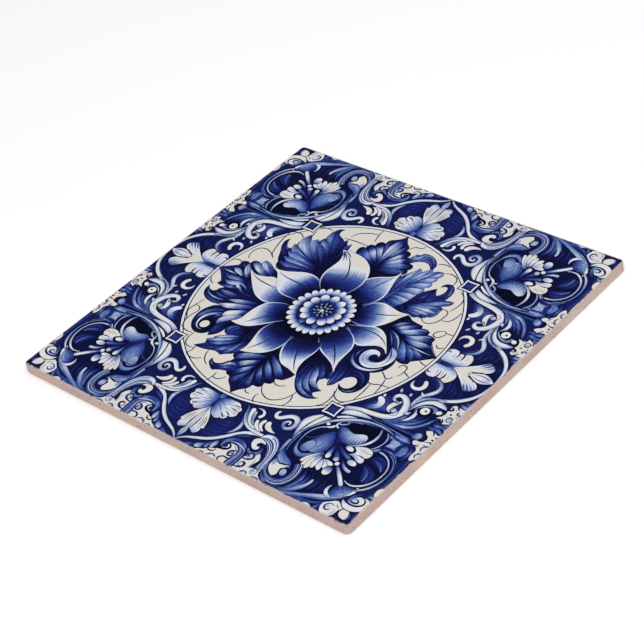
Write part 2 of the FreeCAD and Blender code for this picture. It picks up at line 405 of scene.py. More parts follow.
# %% Scrolls of the far and near sides
WHITES = (WHITE, WHITE, CREAM, WHITE)
border.stroke([(24.6, 58.2), (21, 58), (17.5, 57.2), (14.8, 55.4), (13, 53), (12, 50.8), (10.8, 49.4)],
              (1.0, 1.3, 1.5, 1.6, 1.5, 1.0, 0.5), (CREAM, WHITE, WHITE, PALE, SKY, BLUE),
              across=(0.15, 0.0), ink=0.3)
border.strokes([
    ([(20.5, 57), (17.5, 56), (15.6, 54), (14.4, 51.8), (13.8, 50.4)], (0.5, 1.2, 1.5, 1.8, 1.6), WHITES),
    ([(18.5, 56), (16.6, 54), (15.7, 52), (15.4, 51)], (0.3, 0.9, 1.1, 1.0), (PALE, SKY, PALE)),
    ([(18, 51.9), (18.4, 50.9), (17.9, 49.6), (16.6, 48.9), (15, 49)], (1.3, 1.0, 0.9, 0.6, 0.3),
     (WHITE, WHITE, PALE)),
    ([(22.5, 57), (20.4, 56.2), (19, 54.8), (18.6, 53.8)], (0.6, 1.2, 1.4, 1.0), WHITES),
    ([(23.2, 56.6), (21.3, 55.4), (20.6, 53.9), (20.9, 52.7)], (0.5, 1.0, 1.3, 1.3), WHITES),
    ([(27.4, 55.3), (25.2, 55.1), (23.4, 54.1), (22.8, 52.8)], (0.25, 1.2, 2.1, 1.8),
     (WHITE, CREAM, CREAM, WHITE)),
], ink=0.25)
border.stroke(
    [(22.2, 46.6), (21.9, 47.9), (22.9, 49), (24.3, 48.6), (25.4, 47.5), (27, 46.3), (28.9, 46.1),
     (30.5, 47.3), (31, 49.3), (30.2, 51.2), (28.6, 51.8), (27.2, 51), (26.9, 49.6), (27.8, 48.6),
     (28.9, 48.9), (28.8, 49.7)],
    (0.9, 1.3, 1.5, 1.6, 1.7, 1.8, 1.9, 1.8, 1.6, 1.4, 1.3, 1.1, 0.9, 0.6),
    (WHITE, CREAM, WHITE, WHITE, PALE, PALE, SKY, PALE, WHITE, WHITE), across=(0.0, 0.0, 0.2), ink=0.3)
border.bands(
    [(24.8, 58.8), (25.4, 57), (27.5, 55.9), (30, 56.2), (32.6, 58.3), (34.2, 61.4), (34.9, 65),
     (35.4, 68.5), (37, 71.2)],
    [(26.4, 60.2), (27.6, 60.4), (29.4, 61.4), (31.2, 63.6), (32.2, 66.4), (32.4, 69.4), (32.8, 71.4)],
    [NAVY, SKY, WHITE, BLUE, PALE, WHITE, SKY, NAVY, PALE, DEEP, WHITE, DEEP, SKY, NAVY])
border.stroke([(25.4, 58.4), (26.6, 57.4), (28.4, 57.4)], (0.4, 1.1, 0.5), WHITE)
border.blade([(29.6, 62.6), (29.8, 65), (28.6, 66.7), (26.6, 67), (25, 66), (24.9, 64.8)],
             [(28.2, 62.8), (28.4, 64.8), (27.4, 65.7), (26, 65.6), (24.9, 64.8)],
             (BLUE, SKY, PALE, PALE, SKY, PALE), across=(0.25, 0.0, 0.1, 0.25), ink=0.3)
border.stroke([(28.9, 63.4), (28.7, 65.4), (27.2, 66.4)], (0.15, 0.35, 0.15), DEEP)
border.blade(
    [(27.4, 62.6), (27.8, 63.6), (27.2, 64.4), (26.2, 64.5), (24.8, 63.6), (23.8, 62), (24, 60.4),
     (25.2, 59.6), (27.2, 60)],
    [(27.4, 62.6), (26.8, 63), (26.2, 62.6), (26, 61.9), (26.4, 61.2), (27.4, 60.8), (28.4, 61),
     (27.2, 60)],
    (WHITE, CREAM, WHITE, CREAM, CREAM, WHITE), ink=0.3)
print(len(marks), "marks with the first scrolls")

# %% [markdown]
# On the right and left the scrolls are fewer and larger. The long tendril that rolls up round a
# berry is a single stroke, because a brush pulls such a line in one go.

# %% Scrolls of the right and left sides
border.stroke([(51, 12), (51.5, 14), (53.4, 14.8), (55.2, 13.9), (55.6, 12.2), (54.8, 10.6)],
              (0.4, 1.0, 1.3, 1.6, 1.7, 1.4), (PALE, WHITE, WHITE, CREAM), ink=0.25)
border.blade([(42, 30.4), (45.4, 27.4), (47, 22)], [(42, 30.4), (50, 29.4), (57, 24)],
             (NAVY, DEEP, BLUE, DEEP))
border.stroke([(46.6, 24.2), (48, 25.4), (48.3, 27.2), (46.6, 29), (43, 30)], (1.8, 2.4, 2.2, 1.8, 0.5),
              (WHITE, WHITE, PALE, BLUE, NAVY), ink=0.2)
border.beads([
    ((46.9, 22.4), (1.3, 0.8), WHITE, 80),
    ((50.3, 17.8), (1.8, 0.9), PALE, 60),
    ((54.3, 18), (1.4, 1.0), PALE, 70),
])
border.stroke(
    [(39.6, 33.9), (44, 32.2), (49, 31.4), (53, 30.7), (56, 29), (57.2, 26.6), (56.8, 24.2), (55.6, 21.8),
     (53.8, 20.1), (51.8, 19.8), (50.6, 20.8), (50.6, 22.2), (51.5, 22.7)],
    (1.8, 2.0, 1.9, 1.8, 1.9, 2.1, 2.3, 2.5, 2.5, 2.2, 1.8, 1.5, 0.8),
    (PALE, WHITE, CREAM, WHITE, CREAM, WHITE, WHITE, CREAM, PALE, WHITE), across=(0.2, 0.0, 0.0), ink=0.3)
border.stroke([(56, 24.6), (54.8, 22.4), (52.8, 21)], (0.15, 0.4, 0.2), (PALE, SKY))
border.stroke([(53.7, 22.6), (52.6, 24), (52, 25.6), (52.2, 27.2), (53.2, 28)], (0.8, 1.7, 1.9, 1.4, 0.5),
              (CREAM, CREAM, WHITE, PALE), ink=0.3)
border.stroke([(54.6, 28.6), (55.7, 27.8), (55.4, 26.6)], (0.6, 1.0, 0.6), (WHITE, WHITE, PALE), ink=0.2)
border.bead((54.1, 26.7), (2.0, 1.9), (SKY, WHITE), 45, ink=0.4)
border.bead((52.6, 23), (1.1, 0.9), (SKY, PALE), 0, ink=0.3)
print(len(marks), "marks with the tendril")

# %% [markdown]
# An acanthus leaf shelters a second berry. It is a dark silhouette with streaks laid over it one by
# one, the broad ones first, and then a white hood round the berry.

# %% Acanthus of the right and left sides
border.blade([(50, 32.4), (57, 31.8), (62, 31.4), (66, 28.8), (69.6, 22.4)],
             [(50, 32.4), (56, 30.6), (58.4, 27), (60, 22), (64, 19), (69.6, 22.4)],
             (DEEP, NAVY, NAVY, 0.92), ink=0.2)
border.strokes([
    ([(54, 32), (58, 31.7), (62.8, 30.6), (66.2, 27.6), (68.2, 24.4), (69, 22.6)],
     (0.3, 1.1, 1.8, 2.0, 1.6, 0.4), (SKY, SKY, PALE, SKY, SKY, BLUE)),
    ([(55, 31.6), (59.6, 30.6), (63.2, 28.6), (65.6, 25.6), (66.8, 23.2)], (0.3, 1.0, 1.5, 1.4, 0.3),
     (SKY, BLUE, SKY, BLUE, DEEP)),
    ([(56, 31.2), (60, 29.4), (62.8, 27.2), (64.5, 24.2)], (0.3, 0.9, 1.3, 0.3), (SKY, BLUE, BLUE, DEEP)),
    ([(62, 30.6), (65.4, 27.8), (67.6, 24.4)], (0.12, 0.35, 0.12), (BLUE, DEEP, BLUE)),
    ([(56.6, 30.6), (60, 28.6), (62.2, 26.4), (63, 24.4)], (0.3, 0.8, 0.9, 0.2), (SKY, SKY, BLUE, DEEP)),
    ([(58.4, 29.6), (60.6, 27.8), (61.4, 25.8), (60.8, 22.9)], (0.3, 1.0, 1.4, 1.0),
     (SKY, WHITE, WHITE, PALE)),
    ([(57.2, 29.8), (59, 27.8), (59.7, 25.6)], (0.3, 1.2, 0.4), (SKY, SKY, BLUE)),
    ([(58, 26.2), (58.8, 25.6), (59.4, 24.9)], (0.5, 1.2, 0.6), (PALE, WHITE, PALE)),
], across=(0.12, -0.04, 0.12), ink=0.16)
border.bead((63.2, 21.8), (5.4, 5.4), INK)
border.blade([(58.4, 24.4), (58.8, 20.6), (60.4, 17.8), (63, 16.2), (66, 15.8), (68.4, 17), (69.3, 18)],
             [(58.4, 24.4), (59.8, 21), (61.4, 19), (63.6, 18), (66, 18), (67.8, 18), (69.3, 18)],
             (PALE, WHITE, WHITE, CREAM, WHITE, PALE), across=(0.3, 0.0, 0.0), ink=0.25)
border.blade([(59.6, 23.2), (60.6, 20.8), (62.6, 19.2), (65, 18.6), (66.6, 19.6), (66.1, 21.4)],
             [(59.6, 23.2), (61.2, 20.8), (63, 19.8), (64.8, 19.7), (65.7, 20.4), (66.1, 21.4)],
             (SKY, PALE, PALE, SKY, SKY, PALE), ink=0.2)
border.stroke([(58.2, 23), (58.6, 18.6), (60.6, 16.4), (63.4, 15.2), (66.4, 14.6)],
              (0.3, 0.7, 0.9, 0.8, 0.3), (SKY, PALE, SKY, PALE), ink=0.15)
border.bead((63.2, 21.8), (3.3, 3.3), (WHITE, CREAM), 90)
border.bead((63.5, 21.7), (0.9, 0.9), INK)
border.bead((67.6, 20.2), (1.8, 2.2), (PALE, WHITE, CREAM), 60, ink=0.4)
print(len(marks), "marks with the scrolls")

# %% [markdown]
# ## Bare glaze along the edges
# Out at the tile's edges the painter leaves patches of bare glaze and fills them with small hooks,
# leaves and dots, and the tile's edge cuts through them.

# %% Edge fillers of the far and near sides
border.blade(
    [(8.6, 75), (10.6, 73.6), (12.4, 72.8), (13.4, 71.4), (15.2, 71), (16.6, 69.6), (17.4, 68.2),
     (17.8, 66.9), (19.6, 66.2)],
    [(22.4, 75), (22, 73), (22.7, 70.4), (22.6, 68), (21.4, 66.6), (19.6, 66.2)], (CREAM, CREAM, WHITE),
    ink=0.25)
border.blade([(25.8, 75), (26.2, 71), (26.4, 68.3), (28, 67.6), (29.9, 65)],
             [(42, 75), (36, 72.8), (34.4, 70.8), (33, 71), (31.2, 71.6), (31.2, 71.6), (31.9, 69.4),
              (31.4, 66.6), (29.9, 65)], CREAM, ink=0.25)
border.blade([(30.9, 72), (31.2, 69.8), (31.9, 67.4), (32.2, 65)],
             [(30.9, 72), (32.2, 70.6), (33, 68.4), (32.2, 65)], (INK, NAVY, DEEP))
border.bands(
    [(22.4, 75), (22.2, 72.6), (22.9, 70), (22.8, 68), (21.6, 66.3), (19.6, 65.5)],
    [(25.9, 75), (26.1, 71), (26, 68.4), (25.2, 66.6), (24, 65.6), (21.6, 65)],
    [NAVY, SKY, BLUE, PALE, DEEP, SKY, NAVY, BLUE, SKY, DEEP, NAVY])
border.blades([
    ([(16.2, 69.2), (15.3, 67.2), (15.8, 65), (17.6, 63.5), (20.2, 63), (22.6, 63.8), (24.4, 65.6)],
     [(16.2, 69.2), (16.6, 67.2), (17.4, 66), (18.8, 65.2), (21, 65), (23, 65.5), (24.4, 65.6)],
     (PALE, SKY, SKY, BLUE, BLUE, SKY, PALE)),
    ([(15.9, 64.4), (17.6, 62), (20.2, 60.4), (23, 60.2)],
     [(15.9, 64.4), (18.8, 62.6), (21, 61.8), (23, 60.2)], (DEEP, BLUE, DEEP)),
    ([(13.9, 67.4), (12.8, 69), (12.9, 70.6), (13.5, 71.5)],
     [(13.9, 67.4), (14.5, 68.6), (14.3, 70.4), (13.5, 71.5)], (SKY, PALE, WHITE)),
    ([(12.5, 68.9), (11.3, 70.4), (11.3, 71.8), (11.9, 72.4)],
     [(12.5, 68.9), (12.6, 70.4), (12.4, 71.6), (11.9, 72.4)], (BLUE, SKY, PALE)),
    ([(10.9, 70.6), (8.6, 71.8), (7.8, 73), (9, 73.7)],
     [(10.9, 70.6), (10.8, 72), (10.3, 73.2), (9, 73.7)], (DEEP, SKY, PALE, WHITE)),
    ([(8, 72), (5.4, 73.2), (3.6, 74.8)], [(8, 72), (7.4, 73.8), (6.6, 75)], (DEEP, BLUE, SKY)),
], across=(0.15, 0.0, 0.0, 0.15), ink=0.22)
border.stroke([(17.8, 65.7), (20.4, 65.2), (23, 65.8), (24.6, 66.6)], (0.2, 0.4, 0.4, 0.2), (PALE, WHITE))
border.strokes([
    ([(15, 70.4), (16.6, 69.8), (18.3, 69.3), (19.3, 68.2), (18.8, 67), (17.6, 66.9)],
     (0.5, 0.9, 1.1, 1.0, 0.7, 0.4), INK),
    ([(12.7, 71.6), (13.8, 72.4), (15.2, 72.1), (15.8, 71)], (0.4, 0.6, 0.6, 0.3), NAVY),
    ([(11.2, 74.8), (12.4, 74.2), (13.6, 74.6)], (0.4, 0.7, 0.3), (DEEP, BLUE)),
])
border.bead((17.3, 68), (2.0, 1.8), (NAVY, DEEP), 0)
print(len(marks), "marks with the patches of the far and near edges")

# %% [markdown]
# Tendrils curl from the stem, each round a small bud, and leaves run out over the edge. The buds go
# down before the tendrils that hold them.

# %% Tendrils along the far and near edges
border.beads([
    ((21.5, 69.8), (1.9, 1.7), (SKY, PALE), 90), ((27.8, 67.4), (2.2, 2.0), (SKY, WHITE), 60),
    ((27.5, 71.7), (1.6, 1.6), (PALE, WHITE), 0), ((33.6, 72.2), (2.3, 2.1), (PALE, WHITE), 90),
], ink=0.25)
border.strokes([
    ([(23, 68.2), (21.7, 68.3), (20.6, 69.1), (20.5, 70.4), (21.4, 71.1), (22.4, 70.6), (22, 69.7)],
     (0.4, 0.6, 0.8, 0.8, 0.6, 0.5, 0.4), (DEEP, NAVY, INK)),
    ([(23, 71.6), (21.8, 72.2), (20.6, 72), (19.4, 72.6), (19, 73.8), (19.8, 74.4)],
     (0.4, 0.7, 0.6, 0.7, 0.7, 0.3), (DEEP, NAVY, NAVY)),
    ([(26, 69.4), (27.4, 69.3), (28.7, 68.7), (29.3, 67.5), (28.7, 66.4), (27.5, 66.2), (27, 67),
      (27.7, 67.7)],
     (0.5, 0.7, 0.8, 0.8, 0.7, 0.6, 0.5, 0.5), (DEEP, NAVY, INK)),
    ([(26, 73.4), (27.4, 73.2), (28.6, 72.4), (28.8, 71.2), (27.9, 70.5), (27, 71)],
     (0.5, 0.8, 0.9, 0.8, 0.6, 0.3), (DEEP, NAVY, NAVY)),
    ([(14.4, 75), (15.3, 73.7), (16.8, 73.2), (18, 73.9)], (0.5, 1.0, 0.8, 0.3), (BLUE, SKY, DEEP)),
    ([(29.4, 75), (30.2, 73.9), (31.4, 73.6), (32.2, 74.4)], (0.5, 0.9, 0.8, 0.3), (DEEP, SKY, DEEP)),
    ([(34, 75), (35, 74.2), (36.6, 74.1), (38, 74.7)], (0.5, 0.9, 0.8, 0.3), (BLUE, SKY, DEEP)),
    ([(30.2, 71.8), (30.9, 70.4), (30.8, 68.8), (30, 67.6)], (0.15, 0.4, 0.4, 0.15), (SKY, PALE)),
    ([(20, 66.9), (21.2, 67.2), (22, 68)], (0.15, 0.4, 0.2), (SKY, BLUE)),
])
border.curl((33.5, 72.2), 0.6, 80, SKY)
print(len(marks), "marks with the far and near edges")

# %% [markdown]
# The right and left edges have the same fillers in narrower patches: leaves that the edge cuts off,
# hooks, dots and small spikes. A spike is a stroke that starts full and ends in a hair.

# %% Edge fillers of the right and left sides
border.blade(
    [(75, 14.8), (73, 15), (70.6, 14.6), (69.6, 15.4), (69.8, 16.6), (69.6, 18), (69.9, 19.6), (69.2, 21),
     (68.2, 22.4)],
    [(75, 23.6), (73.4, 23), (72.6, 23.8), (71.4, 24), (70.6, 23.2), (70.2, 22.2), (69.2, 22.2),
     (68.2, 22.4)],
    CREAM, ink=0.25)
border.blade([(75, 28), (73.6, 28.8), (72.2, 28), (70.6, 28.2), (69.4, 28.9)],
             [(75, 34.4), (73, 33), (71.6, 33.4), (71.4, 31.6), (70.4, 30.2), (69.4, 28.9)], CREAM,
             ink=0.25)
border.blade(
    [(75, 32.4), (72.5, 33.2), (70.4, 33.8), (68.6, 34.5), (69.4, 35.8), (69.4, 35.8), (71, 36.4),
     (72.2, 38), (72, 40), (72.8, 42.4)],
    [(75, 36), (75, 40), (74.4, 41.6), (72.8, 42.4)], CREAM, ink=0.25)
border.blades([
    ([(66.6, 33), (67.6, 33.9), (69.2, 33.5), (70, 32.4)],
     [(66.6, 33), (67.2, 31.4), (68.6, 30.6), (70, 32.4)], (BLUE, SKY, PALE, SKY)),
    ([(67.8, 26.6), (70, 28), (72.4, 27.6), (74.8, 28.4)],
     [(67.8, 26.6), (70.4, 26.4), (72.8, 26.2), (74.8, 28.4)], (DEEP, BLUE, SKY, SKY)),
    ([(68.4, 25.2), (70.8, 26.2), (73, 25.8), (75, 26.6)],
     [(68.4, 25.2), (71, 24.8), (73.2, 24.4), (75, 26.6)], (DEEP, SKY, BLUE, SKY)),
    ([(69, 23.6), (71.6, 24.9), (73.6, 24.4), (75, 25)],
     [(69, 23.6), (71.8, 23.9), (73.6, 23.4), (75, 25)], (DEEP, BLUE, SKY, BLUE)),
    ([(71, 13), (72.8, 14.6), (75, 14.6)], [(71, 13), (73, 13.2), (75, 13.4)], (DEEP, SKY, PALE)),
    ([(72, 11.6), (73.6, 13), (75, 12.8)], [(72, 11.6), (73.6, 11.6), (75, 11.6)], (DEEP, BLUE, SKY)),
], across=(0.15, -0.05, 0.15), ink=0.2)
border.strokes([
    ([(69.6, 33.6), (70.9, 33.4), (71.5, 32.2), (70.9, 30.8), (69.5, 30.3)], (0.5, 0.9, 1.0, 0.8, 0.3),
     INK),
    ([(67.9, 21.6), (69, 21), (69.3, 19.8), (68.8, 18.8)], (0.3, 0.7, 0.6, 0.2), INK),
    ([(68.8, 17.4), (69.9, 17.4), (70.8, 16.7), (70, 16)], (0.4, 0.9, 0.8, 0.4), INK),
    ([(69.4, 23), (70.4, 23.4), (70.9, 22.6), (70.2, 21.9)], (0.3, 0.6, 0.6, 0.3), NAVY),
    ([(71.2, 24.2), (72.4, 24.2), (72.9, 23.2)], (0.3, 0.6, 0.3), NAVY),
])
border.bead((72.5, 21.1), (1.9, 1.7), (SKY, WHITE), 90, ink=0.35)
border.beads([
    ((71.5, 18.9), (1.0, 0.7), NAVY, 40), ((73.9, 19.2), (0.8, 0.8), SKY, 0),
    ((73.2, 17.2), (0.8, 1.0), DEEP, 60), ((71.8, 16.4), (0.7, 0.5), SKY, 0),
    ((74.4, 22), (0.8, 0.8), BLUE, 0), ((70.6, 20), (0.5, 0.5), SKY, 0),
    ((73.8, 31.4), (1.0, 0.8), NAVY, 30), ((74.2, 30), (0.8, 0.8), BLUE, 0),
    ((72.6, 29.6), (0.6, 0.4), SKY, 20), ((73, 34.6), (0.9, 0.5), SKY, 20),
    ((71, 35.2), (0.9, 0.4), SKY, 10),
])
border.strokes([
    ([(75, 34.2), (73.6, 34.9), (73, 36.2), (73.6, 37.2)], (0.6, 1.0, 0.8, 0.3), (BLUE, SKY, DEEP)),
    ([(75, 38), (73.8, 38.5), (73.2, 39.6), (73.7, 40.6)], (0.6, 0.9, 0.8, 0.3), (BLUE, SKY, DEEP)),
    ([(75, 41), (74.2, 41.6), (73.4, 42.4)], (0.5, 0.7, 0.3), (DEEP, BLUE)),
    ([(71.4, 27.4), (72.3, 28.6), (73, 29.6)], (1.0, 0.7, 0.1), (DEEP, NAVY)),
    ([(74.8, 33.2), (73.6, 32.6), (72.6, 33)], (0.9, 0.6, 0.1), (BLUE, DEEP)),
    ([(70.4, 24.8), (71.2, 23.4), (71.3, 22.4)], (1.0, 0.7, 0.1), (DEEP, NAVY)),
    ([(74.8, 17.8), (73.6, 18), (72.7, 17.6)], (1.1, 0.8, 0.1), (SKY, DEEP)),
    ([(74.8, 23.6), (74, 22.6), (73.7, 21.6)], (1.1, 0.8, 0.1), (SKY, DEEP)),
    ([(71.4, 14.2), (72, 15.4), (72.9, 16.1)], (1.0, 0.7, 0.1), (NAVY, DEEP)),
    ([(70, 36.6), (70.9, 35.9), (71.9, 36.2)], (0.9, 0.6, 0.1), (DEEP, BLUE)),
])
print(len(marks), "marks with the edges")

# %% [markdown]
# ## Corner roundels
# Each corner has a round bower of leaves, drawn as dark space framed by ribbons of fine lines, with
# a spray of buds in it. The dark goes down first, then the ribbons, then the flowers.

# %% Roundel frame
border.blade(
    [(40, 40), (37, 45.5), (35.4, 51.5), (36, 58), (39.6, 64), (43.4, 70), (47.5, 73.4), (53.5, 72)],
    [(40, 40), (46, 36), (54, 34.8), (62, 37), (68, 43), (71, 50), (70.4, 57), (66, 63.4), (60, 68.6),
     (53.5, 72)],
    0.91)
border.strokes([
    ([(47, 60.6), (48.6, 64), (49.2, 68)], (0.2, 0.8, 0.3), (0.9, 0.78, 0.8)),
    ([(50.6, 61.6), (51.4, 64), (51, 66.4)], (0.2, 0.7, 0.3), (0.9, 0.76, 0.8)),
    ([(53.6, 62.6), (54.4, 66), (53.6, 69)], (0.2, 0.9, 0.3), (0.9, 0.74, 0.7)),
    ([(56, 62), (56.6, 65.4), (55.8, 69.4)], (0.2, 0.8, 0.3), (0.9, 0.76, 0.72)),
    ([(57.6, 62.8), (57.9, 66), (57.2, 69.4)], (0.2, 0.5, 0.2), (0.9, 0.76, 0.8)),
])
border.bands([(34.4, 68.4), (37.4, 72.4), (42, 73.8), (45.6, 71.8), (47.2, 68), (46.9, 64), (45.6, 61)],
             [(35.4, 66.4), (37, 69.8), (40, 71), (42.8, 70.4), (44.2, 68), (44, 65), (43, 62.6)],
             [NAVY, SKY, DEEP, WHITE, BLUE, NAVY, SKY, DEEP, PALE, BLUE, DEEP, SKY, NAVY])
border.blade([(46.6, 62), (47.8, 66), (47.6, 70), (46.4, 72)],
             [(50.4, 63), (51.8, 66), (50.6, 70), (46.4, 72)], (INK, DEEP, BLUE, SKY),
             across=(0.15, -0.1, 0.15, -0.1, 0.1))
border.strokes([
    ([(48.2, 62.8), (49.2, 66.4), (48.2, 70.4)], (0.2, 0.6, 0.2), (DEEP, SKY, SKY)),
    ([(49.6, 63.6), (50.6, 66.4), (49.6, 69.4)], (0.2, 0.5, 0.2), (NAVY, BLUE, SKY)),
])
border.stroke([(35.4, 70.2), (39, 73.6), (44, 74.4), (48.6, 72.2), (51.4, 69.2), (52.5, 66.8),
               (52.6, 65.2)],
              (0.5, 1.3, 1.5, 1.8, 1.9, 1.6, 0.8), (BLUE, SKY, SKY, SKY, PALE, WHITE),
              across=(0.25, 0.0, 0.1), ink=0.2)
border.stroke([(40, 73.8), (45, 73.6), (49.2, 71)], (0.15, 0.4, 0.15), DEEP)
border.stroke([(40, 74.3), (46, 74.6), (52, 72.6), (57, 70.4), (61, 68.6), (64.8, 65.8), (67.4, 62.4)],
              (0.8, 1.2, 1.4, 1.6, 2.2, 2.0, 0.8), (BLUE, SKY, 0.34, 0.28, 0.16, PALE, PALE),
              across=(0.25, 0.0, 0.1), ink=0.3)
border.stroke([(50, 73.8), (55, 71.8), (60, 69.6), (63.4, 67.6)], (0.15, 0.35, 0.35, 0.15), (SKY, BLUE))
border.blade([(59.6, 66.8), (62.2, 67.4), (65.2, 65.2), (66.9, 61.4)],
             [(59.6, 66.8), (60.2, 63.8), (62.8, 61.8), (66.9, 61.4)], (NAVY, BLUE, SKY, SKY, BLUE),
             across=(-0.12, 0.0, 0.1, 0.3), ink=0.15)
border.beads([
    ((62.2, 64), (0.7, 0.4), NAVY, 40), ((63.2, 63), (0.7, 0.4), NAVY, 40),
    ((63.2, 64.8), (0.6, 0.4), DEEP, 40), ((64.4, 62.6), (0.7, 0.4), DEEP, 50),
    ((64.3, 64), (0.6, 0.4), DEEP, 50),
])
border.stroke([(61.8, 68), (60, 67.4), (59, 65.9), (59.2, 63.7)], (1.0, 1.3, 1.0, 0.3),
              (PALE, WHITE, PALE), ink=0.2)
border.stroke([(65.6, 65.2), (67.2, 62.6), (67.4, 60.6)], (0.5, 1.1, 0.8), (PALE, WHITE, WHITE), ink=0.2)
border.stroke([(67.4, 61.4), (70, 58.6), (71.6, 54), (71.4, 49), (69.4, 45.2), (66.2, 43.2),
               (62.6, 42.6)],
              (0.6, 0.9, 0.8, 0.7, 0.8, 0.9, 0.4), (WHITE, PALE, SKY, SKY, PALE, PALE),
              across=(0.15, 0.0, 0.15), ink=0.3)
border.stroke(
    [(61.4, 60), (64.2, 60.6), (67.2, 59.2), (69.3, 56.4), (70.2, 52.5), (69.6, 48.6), (67.2, 45.6),
     (64, 44.3), (60.2, 44.6)],
    (0.3, 0.6, 0.7, 0.55, 0.45, 0.45, 0.55, 0.6, 0.3), (PALE, WHITE, PALE, PALE, PALE, PALE, WHITE),
    ink=0.25)
print(len(marks), "marks with the upper frames")

# %% [markdown]
# The frame's lower side is hung with a cloth: a striped ribbon, folds with dark gaps between them,
# and the long line that carries the roundel round to the square by the medallion.

# %% Lower side of the roundel frame, with the drapery
border.bands([(57.4, 45.6), (59.8, 42.8), (60.4, 39.4), (58.6, 36)],
             [(61.6, 45.2), (64, 42.6), (64.6, 38.6), (62.6, 36.2)],
             [INK, DEEP, PALE, BLUE, NAVY, SKY, PALE, DEEP, SKY, BLUE, NAVY])
border.blade([(61, 43.6), (66, 43), (69.6, 45), (71.6, 49)],
             [(62, 37), (67, 35.6), (71, 38), (72.2, 44), (71.6, 49)], (NAVY, DEEP, NAVY, DEEP))
border.blades([
    ([(62.6, 43.4), (65.6, 43.2), (68.4, 44.2), (70.8, 46.8)],
     [(62.6, 42.4), (66, 42.2), (69, 43.4), (70.8, 46.8)], (DEEP, SKY, BLUE, SKY)),
    ([(62.2, 41.8), (64, 41.1), (66.4, 41.6), (66.4, 41.6), (66, 39.6), (67.2, 37.4)],
     [(62.2, 41.8), (62.9, 40), (62.6, 38), (61.8, 36.6), (61.8, 36.6), (64.4, 37.4), (67.2, 37.4)],
     (SKY, PALE, 0.34, PALE, SKY)),
    ([(66.8, 42.4), (69, 43), (70.6, 41.4), (70.2, 39), (68.9, 37.2)],
     [(66.8, 42.4), (67.6, 41), (67.4, 39.4), (68.9, 37.2)], (BLUE, SKY, SKY, DEEP)),
    ([(70.2, 44.6), (71.6, 42.4), (71.6, 39.6), (70.8, 37)],
     [(70.2, 44.6), (70.8, 42), (70.8, 39.6), (70.8, 37)], (DEEP, BLUE, SKY, DEEP)),
    ([(58, 35.6), (62.6, 36.6), (66.4, 37.2), (69.4, 36.4)],
     [(58, 35.6), (62, 34.6), (66, 34.4), (69.4, 36.4)], (DEEP, BLUE, SKY, DEEP)),
], across=(0.18, -0.06, -0.04, 0.18), ink=0.24)
border.strokes([
    ([(63, 39.6), (64.4, 39), (65.6, 37.8)], (0.12, 0.3, 0.12), BLUE),
    ([(68.2, 42.2), (69, 40.4), (68.8, 38.4)], (0.15, 0.35, 0.15), DEEP),
    ([(60, 35.6), (63.4, 35.9), (67.4, 36)], (0.15, 0.35, 0.15), PALE),
])
border.bands([(48.6, 33.8), (54, 33.9), (60, 34.4), (66.4, 35.2)],
             [(48.6, 32.9), (54, 32.4), (60, 32.2), (67.4, 32)], [SKY, NAVY, INK, NAVY, BLUE, DEEP])
border.stroke(
    [(35, 61.8), (34.1, 57), (34, 53), (34.8, 48.6), (36.6, 45), (39.4, 41.6), (43, 38.6), (47, 36.3),
     (52, 35), (57, 34.8), (62, 36)],
    (1.1, 1.3, 1.1, 1.0, 1.0, 1.1, 1.0, 0.9, 0.9, 0.9, 0.5),
    (SKY, PALE, PALE, PALE, PALE, WHITE, WHITE, PALE, PALE, SKY), across=(0.25, 0.0, 0.25), ink=0.3)
border.stroke(
    [(44.6, 55.6), (43.2, 57.6), (41, 58.6), (38.6, 57.6), (37, 54.6), (36.5, 51), (37.1, 47.6),
     (38.8, 45), (40.6, 44)],
    (0.6, 1.7, 1.9, 1.0, 0.5, 0.45, 0.45, 0.5, 0.5), (SKY, SKY, 0.32, SKY, PALE, PALE, WHITE),
    across=(0.0, 0.0, 0.2), ink=0.25)
border.strokes([
    ([(36, 59), (35.2, 55.4), (35.3, 51)], (0.15, 0.35, 0.15), SKY),
    ([(42.8, 39.8), (46.6, 37.3), (52, 36), (55.6, 35.8)], (0.3, 0.5, 0.5, 0.2), (SKY, BLUE)),
    ([(45.8, 38.4), (48.4, 37.4), (51.6, 37.2)], (0.2, 0.5, 0.3), (SKY, PALE)),
    ([(37.4, 51), (39.4, 50.4), (40.8, 48.6), (41.5, 45.8)], (0.3, 0.4, 0.4, 0.2), 0.6),
])
print(len(marks), "marks with the drapery")

# %% [markdown]
# Short leaves rise from the square along both arms of the frame, bare glaze with a dark contour, and
# one more leaf curls in under the ribbon.

# %% Leaves by the square
border.blade([(35.4, 40.2), (33, 42.2), (31.4, 45), (31.8, 48.4), (33, 52), (33.8, 54.4)],
             [(36, 40.4), (35, 42.6), (34, 45.6), (33.7, 49.6), (33.8, 54.4)],
             (WHITE, CREAM, WHITE, PALE, SKY), across=(0.3, 0.0, 0.0, 0.1), ink=0.35)
border.blade([(36.6, 40.4), (35.3, 43), (34.5, 46), (34.1, 50)],
             [(39.2, 40.4), (37.2, 43), (35.7, 46.2), (34.1, 50)], (WHITE, CREAM, WHITE, PALE),
             across=(0.0, 0.0, 0.2), ink=0.3)
border.blade([(40.2, 36.8), (43, 35.7), (46, 34.8), (50.4, 33.9)],
             [(40.4, 35), (42.4, 33.6), (46, 32.9), (50.4, 33.4)], (WHITE, CREAM, WHITE, PALE),
             across=(0.2, 0.0, 0.1), ink=0.35)
border.stroke([(40.4, 38.6), (43, 36.9), (46, 35.8)], (0.7, 1.0, 0.3), (WHITE, WHITE, PALE), ink=0.2)

